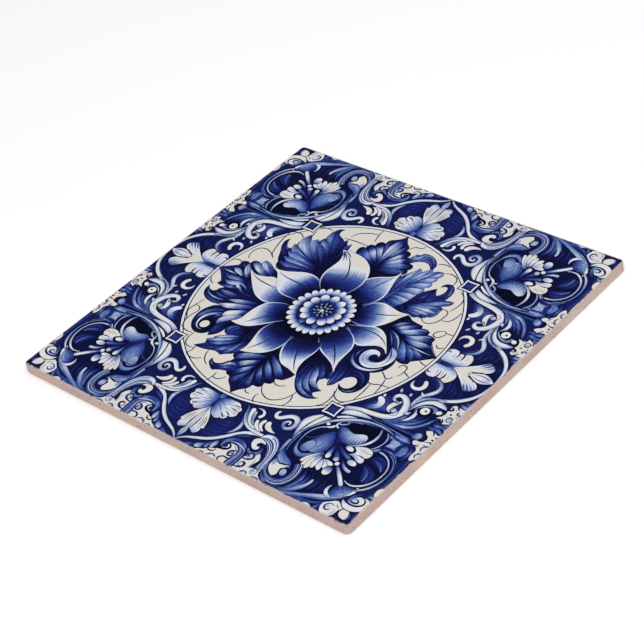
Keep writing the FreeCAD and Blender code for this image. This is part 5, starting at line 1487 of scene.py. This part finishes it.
centre.blade([(-6, -36), (-9, -35.6), (-11, -36.6), (-12, -38.4), (-14, -39.6), (-15.6, -39.4),
              (-16.8, -38.2)],
             [(-6, -36), (-7, -40), (-9.6, -41), (-9.6, -41), (-11.4, -41.8), (-13, -42.8), (-13, -42.8),
              (-15.2, -41.4), (-16.9, -39.8), (-16.8, -38.2)], (DEEP, DEEP, NAVY, NAVY), ink=0.15)
centre.strokes([
    ([(-7.6, -36.6), (-9.6, -37.2), (-11.2, -39), (-13.2, -40.6)], (0.4, 1.3, 1.0, 0.3),
     (SKY, PALE, SKY, DEEP)),
    ([(-8, -38.6), (-9.8, -39.6), (-11.6, -41)], (0.3, 0.9, 0.3), (BLUE, SKY, DEEP)),
    ([(-13.6, -40.4), (-15.6, -40.2), (-16.4, -38.8)], (0.2, 0.5, 0.2), (DEEP, SKY, DEEP)),
])
print(len(marks), "marks so far, with the leaves")

# %% [markdown]
# ## The flower
# Ten petals spring from a dark ring round the eye. Each is bare glaze at its tip and drowns in
# cobalt towards its root, with a midrib, fine lines along it and a pale edge that lifts it off the
# leaves. The lower ones are painted first, as they lie under their neighbours.

# %% Petals
Petal = namedtuple("Petal", "left right rib cobalt across")
EVEN_LIGHT = (-0.08, 0.02, 0.02, -0.08)
PETALS = [
    Petal([(-13, 1), (-20, 2.4), (-25, 4.8), (-28, 6), (-31, 4.8), (-35, 4), (-38.9, 5.3)],
          [(-13, -3), (-18, -5), (-22, -5.9), (-27, -4.8), (-31, -2), (-35, 1.6), (-38.9, 5.3)],
          [(-23.5, 1.8), (-29, 2), (-33, 2.6), (-37, 4.2)],
          (0.95, 0.84, 0.46, 0.12, 0.0, 0.0, 0.0, 0.0), EVEN_LIGHT),
    Petal([(13, -0.6), (17, 0.9), (20.5, 2.5), (24, 2.8), (27.5, 1.2), (30.5, -2), (32.4, -4.2),
           (33.8, -6)],
          [(13, -1.6), (17, -4), (20, -6.4), (22.5, -7.4), (25, -6.3), (27.5, -4.7), (30, -4),
           (33.8, -6)],
          [(19.5, 0), (23.5, 0.3), (27.4, -0.6), (31.4, -3.2)],
          (0.95, 0.86, 0.56, 0.3, 0.1, 0.0, 0.0, 0.0), EVEN_LIGHT),
    Petal([(-13, -3), (-17, -4), (-20.4, -6.2), (-22, -9.5), (-22.7, -14), (-23, -17.2), (-25, -19.9)],
          [(-8.8, -10.6), (-12.5, -14), (-15.4, -16.9), (-18.6, -19.3), (-21.6, -20), (-25, -19.9)],
          [(-14.4, -10.6), (-17, -13.4), (-18.6, -15.6), (-20.6, -18)],
          (0.95, 0.84, 0.54, 0.3, 0.08, 0.0, 0.0, 0.0), (-0.16, -0.02, 0.08, -0.06)),
    Petal([(13, -2.5), (17, -4), (20, -6.3), (21.8, -9.5), (22.2, -14), (22.6, -18), (24.3, -22.2)],
          [(8.6, -11.6), (11, -14.2), (14, -16.2), (18, -17.8), (21.5, -19.6), (24.3, -22.2)],
          [(15.4, -11.4), (18, -14), (20, -16.4), (22.4, -19.8)],
          (0.95, 0.86, 0.66, 0.48, 0.34, 0.2, 0.08, 0.02), EVEN_LIGHT),
    Petal([(11.4, -13), (12.2, -17.5), (11.7, -22), (12.1, -26), (14.1, -30)],
          [(0.4, -15.4), (0.2, -19), (1.2, -22.5), (3.2, -25.6), (6, -27.9), (10, -28.7), (14.1, -30)],
          [(6.4, -20), (8, -23), (9.8, -25.8), (12.4, -28.8)],
          (0.95, 0.86, 0.66, 0.4, 0.12, 0.02, 0.0, 0.0), EVEN_LIGHT),
    Petal([(-11, -13.4), (-12.4, -18.4), (-11.7, -22), (-10.9, -25.5), (-10.7, -28), (-11.3, -30.2)],
          [(-0.6, -15.4), (-0.1, -20), (-1.2, -24), (-3.6, -27), (-7, -28.9), (-11.3, -30.2)],
          [(-6.4, -20), (-7.2, -23), (-8.4, -25.8), (-10, -28.4)],
          (0.95, 0.86, 0.68, 0.4, 0.12, 0.02, 0.0, 0.0), EVEN_LIGHT),
    Petal([(0.6, 11), (0.8, 16), (1.6, 20), (3, 22.8), (5.6, 25), (9, 27), (10.5, 28.6), (10.8, 30.8)],
          [(10, 10), (12.6, 13), (13.6, 17), (12.8, 21.6), (11.5, 26), (11.2, 28.3), (10.8, 30.8)],
          [(7.4, 19), (8, 21.6), (8.9, 24), (10.2, 27.4)],
          (0.96, 0.86, 0.66, 0.4, 0.24, 0.16, 0.1, 0.06), (0.14, 0.06, -0.02, -0.12)),
    Petal([(11, 9.4), (13.6, 13.2), (16.4, 14.3), (20, 13.9), (24, 13.3), (27.7, 14)],
          [(12, 1.4), (16, 1.1), (20, 2.3), (22.6, 4.6), (24.9, 8.5), (26.2, 11.6), (27.7, 14)],
          [(16, 8), (19.4, 9.2), (22.6, 10.6), (26, 12.8)],
          (0.95, 0.84, 0.54, 0.24, 0.06, 0.0, 0.0, 0.0), (-0.14, -0.02, 0.06, -0.06)),
    Petal([(-9, 10), (-12, 12.7), (-16, 14), (-20, 13.7), (-24, 11.9), (-28, 10.5), (-32.2, 10.3)],
          [(-12, 0.6), (-16.5, 0.3), (-20.5, 0.7), (-23.5, 2.5), (-26.4, 6), (-29, 9), (-32.2, 10.3)],
          [(-14.4, 7.4), (-17.6, 8), (-21, 8.2), (-24.6, 8.5), (-28.6, 9.6)],
          (0.95, 0.84, 0.5, 0.16, 0.02, 0.0, 0.0, 0.0), (-0.08, -0.02, 0.06, 0.04, -0.08)),
    Petal([(-9, 9.6), (-12.3, 13.4), (-13.7, 18), (-13.5, 22), (-13.3, 25), (-14.2, 28), (-16.2, 30.8)],
          [(0.4, 10.6), (2.2, 16), (2.3, 20), (0.8, 24.5), (-2, 28), (-6, 30.4), (-10.5, 31.3),
           (-16.2, 30.8)],
          [(-5, 16.6), (-5.6, 20.4), (-7.4, 23.6), (-9.8, 26.8), (-13.6, 29.6)],
          (0.96, 0.84, 0.6, 0.2, 0.0, 0.0, 0.0, 0.0), (0.06, 0.04, -0.04, -0.14)),
]
centre.bead((-0.4, -1), (33, 34), INK)
for petal in PETALS:
    centre.blade(petal.left, petal.right, petal.cobalt, petal.across, ink=0.35)
    centre.veins(petal.left, petal.right, 11, 0.16, (NAVY, 0.6, 0.14), 0.16, 0.56)
    for edge in (petal.left, petal.right):
        centre.stroke(edge, (0.2, 0.5, 0.46, 0.3), (SKY, WHITE, WHITE, CREAM))
    centre.stroke(petal.rib, (0.25, 0.55, 0.45, 0.15), (INK, NAVY, NAVY, DEEP))
for hatch in ([(-15.4, 30.2), (-13.4, 28.8), (-11.4, 26.4)],
              [(-14.8, 29.2), (-13.4, 27.8), (-12.4, 25.6)], [(-15, 30.6), (-12.4, 29.8), (-10.6, 28.4)]):
    centre.stroke(hatch, (0.6, 0.5, 0.15), (NAVY, DEEP, SKY))
print(len(PETALS), "petals")

# %% [markdown]
# ## The eye of the flower
# Two rings of beads round a dark knob, each bead white where it faces out and blue in its root.
# A loop sets them out by angle, which keeps a ring even without measuring every bead.

# %% Eye
EYE = (-0.3, 0.0)
HEART = (-0.3, 0.9)


def bead_ring(middle, radius, count, length, width, cobalt, start, ink=0.0):
    """Beads round a middle, their strengths from the root outwards."""
    for k in range(count):
        turn = start + 360 * k / count
        way = (math.cos(math.radians(turn)), math.sin(math.radians(turn)))
        place = (middle[0] + radius * way[0], middle[1] + radius * way[1])
        centre.bead(place, (length, width), cobalt, turn, ink=ink)


centre.bead(EYE, (24.4, 24.6), INK)
bead_ring(EYE, 10.45, 26, 4.1, 2.45, (0.8, 0.72, 0.46, 0.16, WHITE, 0.03, WHITE), 4, ink=0.17)
centre.bead(EYE, (17.6, 17.8), (0.86, 0.76), 90)
centre.bead(HEART, (15.6, 15.6), NAVY)
for x in (-3.2, 2.8):
    centre.bead((x, -7.1), (2.4, 2.4), (DEEP, BLUE, PALE), -60, ink=0.2)
for turn in (90, 56, 25, -3, -28, -54, -90, -126, -152, -177, 155, 124):
    bead_ring(HEART, 6.25, 1, 4.2, 3.3, (NAVY, DEEP, 0.34, WHITE, 0.03, WHITE), turn, ink=0.2)
centre.bead(HEART, (9, 9), (0.8, NAVY), 90)
bead_ring(HEART, 4.1, 14, 1.4, 1.1, (NAVY, DEEP, 0.62), 0)
centre.bead(HEART, (7.4, 7.2), INK)
bead_ring(HEART, 3.0, 11, 1.2, 0.8, (BLUE, PALE), 8)
bead_ring(HEART, 1.7, 7, 1.2, 0.7, (SKY, PALE, BLUE), 0)
centre.bead((-0.4, 0.4), (1.5, 1.5), (PALE, WHITE), 90, ink=0.2)
print(len(marks), "marks in all")

# %% [markdown]
# ## Cutting the picture into the face
# A picture this sharp could be an image, but an image has a fixed grain and no edges; shader nodes
# would need thousands. Here the outlines of all marks are cut into one sheet, the way paper is cut
# for an inlay, by a constrained Delaunay triangulation: no bmesh operator cuts many crossing
# outlines at once. Each triangle then takes the topmost mark that covers it. The sheet is cut in
# plan over the whole tile, with a few extra rings where the glaze rolls over the rim.

# %% The tile in plan
arris = 0.7           # radius of the rolled rim, as the body has it
corner = 2.0          # radius of the upright corners
core = half_side - corner
glaze_lift = 0.02     # how far the glaze stands proud of the clay
roll_stops = [0.0, 0.3, 0.55, 0.77, 0.92, 1.0]   # share of the rim's width, from flat to upright


def rounded_square(reach):
    """The tile's outline in plan, as far out from its straight core as reach."""
    steps = np.linspace(0, math.pi / 2, 7)
    arc = core + reach * np.column_stack([np.cos(steps), np.sin(steps)])
    corners = [arc, (arc * (-1, 1))[::-1], arc * (-1, -1), (arc * (1, -1))[::-1]]
    return np.vstack(corners)


print("the tile's outline in plan has", len(rounded_square(corner)), "points")

# %% [markdown]
# Whether a mark covers a spot is found by winding: a spot is inside an outline that goes round it.
# Later marks lie over earlier ones, as they do under the brush, so the last mark that covers a spot
# is the one that shows there.

# %% Which mark is on top


def inside(outline, spots):
    """Which spots the outline winds round."""
    a, b = outline, np.roll(outline, -1, axis=0)
    x, y = spots[:, :1], spots[:, 1:]
    side = (b[:, 0] - a[:, 0]) * (y - a[:, 1]) - (x - a[:, 0]) * (b[:, 1] - a[:, 1])
    rising = (a[:, 1] <= y) & (b[:, 1] > y) & (side > 0)
    falling = (a[:, 1] > y) & (b[:, 1] <= y) & (side < 0)
    return rising.sum(1) != falling.sum(1)


def topmost(spots):
    """The number of the last mark that covers each spot, or -1."""
    order = np.argsort(spots[:, 0])
    sorted_x = spots[order, 0]
    top = np.full(len(spots), -1)
    for number, mark in enumerate(marks):
        low_corner, high_corner = mark.outline.min(0), mark.outline.max(0)
        first, last = np.searchsorted(sorted_x, [low_corner[0], high_corner[0]])
        near = order[first:last]
        tall = spots[near, 1]
        near = near[(tall > low_corner[1]) & (tall < high_corner[1])]
        if len(near):
            top[near[inside(mark.outline, spots[near])]] = number
    return top


print("marks on top at the middle of the face and near a corner:",
      topmost(np.array([(0.0, 0.0), (core, core)])).tolist())

# %% [markdown]
# A broad mark also gets lines along its inside, so that its shade can swell between its edges. Of
# all these lines only those in sight are cut, which keeps the sheet light.

# %% Cut the sheet
LINE_GAP = 1.4       # millimetres of a mark's width that ask for one more line inside it
MOST_LINES = 4
BROAD_SHARE = 0.4    # lines run where a mark has at least this share of its full width
WELD = 1e-5          # points that are closer than this become one


def shading_lines(mark):
    """Lines along a broad mark, between its edges, that its shading can swell on."""
    chord = mark.right - mark.left
    widths = np.linalg.norm(chord, axis=1)
    if np.size(mark.cobalt) == np.size(mark.across) == 1:
        return []
    inner = min(MOST_LINES, round(widths.max() / LINE_GAP))
    broad = np.flatnonzero(widths > BROAD_SHARE * widths.max())
    stations = slice(max(broad[0], 1), min(broad[-1], len(widths) - 2) + 1)
    return [mark.left[stations] + chord[stations] * k / (inner + 1) for k in range(1, inner + 1)]


def visible(begins, ends, number):
    """Which line segments of the marks with these numbers aren't under a later mark."""
    seen = np.zeros(len(begins), bool)
    for share in (0.0, 0.5, 1.0):
        seen |= topmost(begins + (ends - begins) * share) <= number
    return seen


def add_loop(line, points, edges):
    """Adds a closed line to the points and edges that will be cut."""
    start = len(points)
    points.extend(line.tolist())
    edges.extend((start + k, start + (k + 1) % len(line)) for k in range(len(line)))


points, edges = [], []
for stop in roll_stops:
    add_loop(rounded_square(corner - arris + arris * stop), points, edges)

runs = [(number, np.vstack([mark.outline, mark.outline[:1]])) for number, mark in enumerate(marks)]
runs += [(number, line) for number, mark in enumerate(marks) for line in shading_lines(mark)]
begins = np.vstack([line[:-1] for _, line in runs])
ends = np.vstack([line[1:] for _, line in runs])
number = np.concatenate([np.full(len(line) - 1, number) for number, line in runs])
seen = visible(begins, ends, number)
for begin, end in zip(begins[seen].tolist(), ends[seen].tolist()):
    edges.append((len(points), len(points) + 1))
    points += [begin, end]
cut = delaunay_2d_cdt([Vector(p) for p in points], edges, [], 0, WELD, False)
plan = np.array([tuple(p) for p in cut[0]])
triangles = np.array([(face[0], b, c) for face in cut[2] for b, c in zip(face[1:], face[2:])])
print(f"{len(marks)} marks, {seen.mean():.0%} of their lines in sight, {len(triangles)} triangles")

# %% [markdown]
# Which mark a triangle belongs to is found at its middle. Then each corner of each triangle asks its
# mark for the strength of cobalt there, and for how far across the mark it lies, which is what the
# fine lines of the bristles follow.

# %% Find each triangle's mark and strengths


def strength(mark, spots):
    """The cobalt's strength at the spots, and how far across the mark they lie in millimetres."""
    chord = mark.right - mark.left
    span = np.maximum((chord**2).sum(1), TINY)
    offset = spots[:, None] - mark.left[None]
    share = np.clip((offset * chord).sum(2) / span, 0, 1)
    nearest = ((offset - share[..., None] * chord) ** 2).sum(2).argmin(1)
    across = share[np.arange(len(spots)), nearest]
    count = len(mark.left)
    tone = spread(mark.cobalt, count)[nearest]
    tone = tone + np.interp(across, np.linspace(0, 1, np.size(mark.across)), np.atleast_1d(mark.across))
    return np.clip(tone, 0, 1), across * np.sqrt(span).mean()


reach = np.maximum(np.abs(plan) - core, 0)
outside = np.linalg.norm(reach, axis=1)
middles = plan[triangles].mean(1)
middle_reach = np.linalg.norm(np.maximum(np.abs(middles) - core, 0), axis=1)
triangles = triangles[middle_reach < corner]
owner = topmost(plan[triangles].mean(1))
cobalt = np.full((len(triangles), 3), NAVY)
bristle = np.zeros((len(triangles), 3))
for number, mark in enumerate(marks):
    mine = np.flatnonzero(owner == number)
    if len(mine):
        tone, lines = strength(mark, plan[triangles[mine]].reshape(-1, 2))
        cobalt[mine] = tone.reshape(-1, 3)
        bristle[mine] = lines.reshape(-1, 3)
print("marks that show:", len(np.unique(owner)))

# %% [markdown]
# ## Rolling the glaze over the rim
# The kiln softens a glaze until it rolls over the edge and thins out there. The flat sheet gets
# the same form by a formula: past the flat of the face, the distance from the tile's straight core
# turns into an angle on the rim's round. The outer edge is then extruded down a little and inwards,
# under the clay's own surface, and filled, so that the coat of glaze is a closed body.

# %% Make the glazed face
flat = corner - arris
share = np.clip((outside - flat) / arris, 0, 1)
grown = np.where(outside > flat, flat + share * (arris + glaze_lift), outside)
scale = np.where(outside > 0, grown / np.maximum(outside, TINY), 1.0)
lifted = np.clip(plan, -core, core) + np.sign(plan) * reach * scale[:, None]
height = face_height - arris + (arris + glaze_lift) * np.sqrt(1 - share**2)

sheet = bpy.data.meshes.new("painted_glaze")
sheet.from_pydata((np.column_stack([lifted, height]) * MM).tolist(), [], triangles.tolist())
for name, values in (("cobalt", cobalt), ("bristle", bristle)):
    layer = sheet.attributes.new(name, "FLOAT", "CORNER")
    layer.data.foreach_set("value", values.ravel().astype(np.float32))

TUCK = 0.5           # millimetres that the glaze's edge is tucked in and down
BAKE_REACH = 77.0    # half the width of the square that the face's map covers
FACING_DOWN = -0.01  # faces whose normal is lower than this are hidden under the coat
PARKED = 0.005       # where in the map the hidden faces are parked
PARKED_SIZE = 0.004  # and how small they are there
build = bmesh.new()
build.from_mesh(sheet)
bmesh.ops.delete(build, geom=[v for v in build.verts if not v.link_faces], context="VERTS")
bmesh.ops.recalc_face_normals(build, faces=build.faces)
rim = [edge for edge in build.edges if edge.is_boundary]
tucked = bmesh.ops.extrude_edge_only(build, edges=rim)
skirt = [item for item in tucked["geom"] if isinstance(item, bmesh.types.BMVert)]
for vertex in skirt:
    x, y = vertex.co.x / MM, vertex.co.y / MM
    inward = Vector((max(-core, min(core, x)), max(-core, min(core, y)), 0))
    outward = Vector((x, y, 0)) - inward
    place = inward + outward * (1 - TUCK / outward.length)
    vertex.co = Vector((place.x, place.y, vertex.co.z / MM - TUCK)) * MM
under = bmesh.ops.holes_fill(build, edges=[e for e in build.edges if e.is_boundary], sides=0)
bmesh.ops.triangulate(build, faces=under["faces"])
bake_map = build.loops.layers.uv.new("OFBake")
for face in build.faces:
    hidden = face.normal.z < FACING_DOWN
    for loop in face.loops:
        spot = loop.vert.co.xy / MM / BAKE_REACH
        loop[bake_map].uv = spot * 0.5 + Vector((0.5, 0.5))
        if hidden:
            loop[bake_map].uv = spot * PARKED_SIZE + Vector((PARKED, PARKED))
build.to_mesh(sheet)
build.free()
glaze = bpy.data.objects.new("painted_glaze", sheet)
bpy.context.scene.collection.objects.link(glaze)
for face in sheet.polygons:
    face.use_smooth = True
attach(glaze, "root")
print(f"glazed face: {len(sheet.polygons)} faces")

# %% [markdown]
# ## A short hand for shader nodes
# Materials in Blender are graphs of nodes. They could be wired by hand in the editor, but a lesson
# should read from top to bottom, so a small class adds a node, sets its sockets and joins it up in
# one call. Patterns take their places from Object coordinates, which here are the tile's own metres,
# so a grain can be given in millimetres.

# %% Nodes in one call each


def colour(*screen):
    """A colour written as it looks on screen, as the linear values that shaders use."""
    shares = [c / 255 for c in screen]
    return [((s + 0.055) / 1.055) ** 2.4 if s > 0.04045 else s / 12.92 for s in shares] + [1.0]


class Nodes:
    """Adds nodes to a material and joins them up."""

    def __init__(self, name):
        self.material = bpy.data.materials.new(name)
        self.material.use_nodes = True
        self.tree = self.material.node_tree
        self.surface = self.tree.nodes["Principled BSDF"]
        self.place = self.add("ShaderNodeTexCoord").outputs["Object"]

    def add(self, kind, inputs=None, **settings):
        node = self.tree.nodes.new(kind)
        for name, value in settings.items():
            setattr(node, name, value)
        for name, value in (inputs or {}).items():
            self.join(value, node.inputs[name])
        return node

    def join(self, value, socket):
        if isinstance(value, bpy.types.NodeSocket):
            self.tree.links.new(value, socket)
        else:
            socket.default_value = value

    def finish(self, **sockets):
        """Joins values up to the surface, each named for its socket with _ for a space."""
        for name, value in sockets.items():
            self.join(value, self.surface.inputs[name.replace("_", " ")])
        print(f"{self.material.name}: {len(self.tree.nodes)} nodes")
        return self.material

    def sums(self, operation, first, second=0.0, third=0.0):
        inputs = {0: first, 1: second, 2: third}
        return self.add("ShaderNodeMath", inputs, operation=operation).outputs[0]

    def fit(self, value, begin, end, low=0.0, high=1.0):
        """The value's stretch from begin to end, as one from low to high."""
        inputs = {"Value": value, "From Min": begin, "From Max": end, "To Min": low, "To Max": high}
        return self.add("ShaderNodeMapRange", inputs).outputs["Result"]

    def noise(self, grain, detail=3.0):
        """Soft blotches about grain millimetres across, mostly from 0.3 to 0.7."""
        inputs = {"Vector": self.place, "Scale": 1 / (grain * MM), "Detail": detail}
        return self.add("ShaderNodeTexNoise", inputs).outputs["Fac"]

    def specks(self, spacing):
        """How far the nearest of some scattered spots is, as a share of their spacing."""
        inputs = {"Vector": self.place, "Scale": 1 / (spacing * MM)}
        return self.add("ShaderNodeTexVoronoi", inputs).outputs["Distance"]

    def ramp(self, value, stops):
        node = self.add("ShaderNodeValToRGB", {"Fac": value})
        while len(node.color_ramp.elements) < len(stops):
            node.color_ramp.elements.new(1.0)
        for element, (position, shade) in zip(node.color_ramp.elements, stops):
            element.position = position
            element.color = colour(*shade)
        return node.outputs["Color"]

    def mix(self, share, first, second, blend="MIX"):
        """Two colours mixed, or the first one tinted by the second where blend is MULTIPLY."""
        inputs = {0: share, 6: first, 7: second}
        return self.add("ShaderNodeMix", inputs, data_type="RGBA", blend_type=blend).outputs[2]

    def bump(self, height, depth):
        """A surface that rises and falls by about depth millimetres."""
        inputs = {"Height": height, "Strength": 1.0, "Distance": depth * MM}
        return self.add("ShaderNodeBump", inputs).outputs["Normal"]

    def attribute(self, name):
        return self.add("ShaderNodeAttribute", attribute_name=name).outputs["Fac"]


print("written 128, shaders use", round(colour(128)[0], 3))

# %% [markdown]
# ## The painted glaze
# Cobalt sinks into the glaze while it is molten, so paint and glaze share one smooth gloss and only
# the colour changes. The brush leaves fine lines along each mark and the pigment pools a little;
# both show in the middle strengths and vanish in bare glaze and in full ink. The tin white itself
# drifts between warm and cool. Where the glaze rolls over the rim it runs thin, and the clay shows
# through an uneven, worn line. All of it is procedural, so it holds up close at any size.

# %% Finish the glaze
COBALT_RAMP = [
    (0.0, (219, 215, 209)),
    (0.06, (223, 226, 237)),
    (0.22, (167, 180, 211)),
    (0.4, (93, 121, 181)),
    (0.56, (48, 70, 147)),
    (0.72, (24, 36, 113)),
    (0.87, (9, 16, 67)),
    (1.0, (1, 3, 26)),
]
BRISTLE = 0.24               # millimetres from a bristle's line to the next gap
CLAY_SHOWN = (196, 175, 167)  # the clay's tint through thin glaze
THIN_FROM = half_side - 0.8   # millimetres from the middle where the glaze starts to run thin
THIN_TO = half_side - 0.3


def glaze_finish():
    nodes = Nodes("painted glaze")
    strength = nodes.attribute("cobalt")
    streaks = nodes.sums("PINGPONG", nodes.attribute("bristle"), BRISTLE)
    streaks = nodes.fit(streaks, 0.0, BRISTLE, -0.22, 0.22)
    pools = nodes.fit(nodes.noise(1.4), 0.0, 1.0, -0.45, 0.45)
    middling = nodes.sums("MULTIPLY", strength, nodes.sums("SUBTRACT", 1.0, strength))
    strength = nodes.sums("MULTIPLY_ADD", middling, nodes.sums("ADD", streaks, pools), strength)
    drift = nodes.ramp(nodes.noise(11.0), [(0.38, (255, 252, 247)), (0.62, (251, 253, 255))])
    paint = nodes.mix(1.0, nodes.ramp(strength, COBALT_RAMP), drift, "MULTIPLY")

    plan = nodes.add("ShaderNodeSeparateXYZ", {"Vector": nodes.place})
    across, away = (nodes.sums("ABSOLUTE", plan.outputs[axis]) for axis in ("X", "Y"))
    reach = nodes.sums("MAXIMUM", across, away)
    worn = nodes.fit(nodes.noise(1.6), 0.3, 0.7, -0.3 * MM, 0.3 * MM)
    thin = nodes.fit(nodes.sums("ADD", reach, worn), THIN_FROM * MM, THIN_TO * MM)
    return nodes.finish(
        Base_Color=nodes.mix(thin, paint, colour(*CLAY_SHOWN)),
        Roughness=nodes.fit(nodes.noise(7.0), 0.35, 0.65, 0.24, 0.34),
        Specular_IOR_Level=0.25,
        Normal=nodes.bump(nodes.noise(3.5, detail=1.0), 0.006),
    )


glaze.data.materials.append(glaze_finish())

# %% [markdown]
# ## The bare clay
# Sides and back are biscuit: fired earthenware, pinkish, dry and without gloss. It looks plain from
# afar, but it is clouded from the kiln, its sand is lighter and darker from grain to grain, and
# here and there a speck of iron has burnt brown. The CAD node stays as it is and only gets this
# finish in its material slots. The grain is far finer than the mesh, so it is left to bump.

# %% Finish the clay


def biscuit_finish():
    nodes = Nodes("fired clay")
    clouds = nodes.ramp(nodes.noise(16.0), [(0.36, (205, 181, 170)), (0.64, (220, 197, 187))])
    sand = nodes.noise(0.45, detail=2.0)
    grains = nodes.ramp(sand, [(0.36, (236, 232, 230)), (0.6, (255, 255, 255))])
    iron = nodes.ramp(nodes.specks(3.2), [(0.06, (168, 122, 100)), (0.11, (255, 255, 255))])
    clay = nodes.mix(1.0, nodes.mix(1.0, clouds, grains, "MULTIPLY"), iron, "MULTIPLY")
    return nodes.finish(
        Base_Color=clay,
        Roughness=nodes.fit(nodes.noise(2.5), 0.35, 0.65, 0.8, 0.92),
        Specular_IOR_Level=0.2,
        Normal=nodes.bump(sand, 0.03),
    )


biscuit = biscuit_finish()
for slot in bpy.data.objects["tile"].material_slots:
    slot.material = biscuit

# %% [markdown]
# ## A pale floor
# The tile lies on a sheet of white paper. A large grid square is enough for that. Paper under soft
# light is not quite white in a picture, so a trace of emission, for the camera's eye only, lifts
# it without lighting the tile, and the soft shadow round the tile's foot stays. The sheet lies a
# hair below the tile, because two faces in one plane flicker.

# %% Lay the floor
FLOOR_REACH = 3.0    # metres from the tile to the sheet's edges
FLOOR_GAP = 0.1      # millimetres from the sheet up to the tile
build = bmesh.new()
bmesh.ops.create_grid(build, x_segments=1, y_segments=1, size=FLOOR_REACH)
bmesh.ops.translate(build, verts=build.verts, vec=(0, 0, -FLOOR_GAP * MM))
floor_mesh = bpy.data.meshes.new("floor")
build.to_mesh(floor_mesh)
build.free()
floor = bpy.data.objects.new("floor", floor_mesh)
bpy.context.scene.collection.objects.link(floor)
floor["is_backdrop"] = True


def paper_finish():
    nodes = Nodes("paper")
    camera_only = nodes.add("ShaderNodeLightPath").outputs["Is Camera Ray"]
    return nodes.finish(
        Base_Color=colour(247, 247, 247),
        Roughness=1.0,
        Specular_IOR_Level=0.0,
        Emission_Color=colour(255, 255, 255),
        Emission_Strength=nodes.sums("MULTIPLY", camera_only, 0.1),
    )


floor_mesh.materials.append(paper_finish())

# %% [markdown]
# ## Soft light
# A glazed tile is hard to photograph: it mirrors the room, and a bright room turns deep blue into
# grey. So the light comes from all round and from one large softbox above, and the room that
# the gloss mirrors is dim, as it is with dark cloth hung about. Light Path tells the rays apart.
# Together the two lights are at the level where a colour renders about as it is written.

# %% Light the studio
AMBIENT = 0.6      # what lights the tile from all round
MIRRORED = 0.06    # what its gloss mirrors
SEEN = 1.0         # what stands behind the floor's edge

scene = bpy.context.scene
scene.view_settings.view_transform = "Standard"
scene.world = bpy.data.worlds.new("studio")
scene.world.use_nodes = True
tree = scene.world.node_tree
ray = tree.nodes.new("ShaderNodeLightPath")
glossy_or_not = tree.nodes.new("ShaderNodeMix")
glossy_or_not.inputs["A"].default_value = AMBIENT
glossy_or_not.inputs["B"].default_value = MIRRORED
tree.links.new(ray.outputs["Is Glossy Ray"], glossy_or_not.inputs["Factor"])
seen_or_not = tree.nodes.new("ShaderNodeMix")
seen_or_not.inputs["B"].default_value = SEEN
tree.links.new(ray.outputs["Is Camera Ray"], seen_or_not.inputs["Factor"])
tree.links.new(glossy_or_not.outputs["Result"], seen_or_not.inputs["A"])
background = tree.nodes["Background"]
background.inputs["Color"].default_value = (1, 1, 1, 1)
tree.links.new(seen_or_not.outputs["Result"], background.inputs["Strength"])

lamp = bpy.data.lights.new("softbox", "AREA")
lamp.shape = "DISK"
lamp.size = 0.9
lamp.energy = 4.9
softbox = bpy.data.objects.new("softbox", lamp)
softbox.location = (0.28, -0.15, 0.9)
softbox.rotation_euler = (-softbox.location).to_track_quat("-Z", "Y").to_euler()
scene.collection.objects.link(softbox)
print(f"a softbox {lamp.size:.1f} m wide, {softbox.location.length:.2f} m from the tile")

# %% [markdown]
# ## The camera
# The picture is taken from high on one side with a long lens, and the camera is held a little
# askew, so the tile's corners point almost up, down, left and right. The place follows from two
# angles and a distance; the roll turns the picture's own right and down about the line of sight.

# %% Set up the camera
AZIMUTH, ELEVATION, ROLL = (math.radians(angle) for angle in (48.15, 37.99, -11.61))
DISTANCE = 4.28        # in sides of the tile
FOCAL = 103.5          # millimetres, on a sensor 36 mm wide
DROP = -0.016          # the lens is shifted this share of the picture

back = Vector((math.sin(AZIMUTH), -math.cos(AZIMUTH), math.tan(ELEVATION))).normalized()
right = Vector((0, 0, 1)).cross(back).normalized()
up = back.cross(right)
axes = Matrix((right, up, back)).transposed().to_4x4()
lens = bpy.data.cameras.new("camera")
lens.sensor_width = 36.0
lens.lens = FOCAL
lens.shift_y = DROP
lens.clip_start = 0.01
camera = bpy.data.objects.new("camera", lens)
middle = Vector((0, 0, face_height * MM))
away = DISTANCE * 2 * half_side * MM
camera.matrix_world = Matrix.Translation(middle + back * away) @ axes @ Matrix.Rotation(ROLL, 4, "Z")
scene.collection.objects.link(camera)
scene.camera = camera
print(f"camera {away:.3f} m from the middle of the face")

# %% [markdown]
# ## Sizes of the bare and the dressed tile
# The coat of glaze is thinner than a hair, so the dressed tile should be as large as the bare one.

# %% Sizes of the bare and the dressed tile
sizes = {"cad": [list(corner) for corner in cad_box], "visual": [list(corner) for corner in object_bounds()]}
for name, (low_corner, high_corner) in sizes.items():
    print(name, [round((b - a) / MM, 2) for a, b in zip(low_corner, high_corner)], "mm")
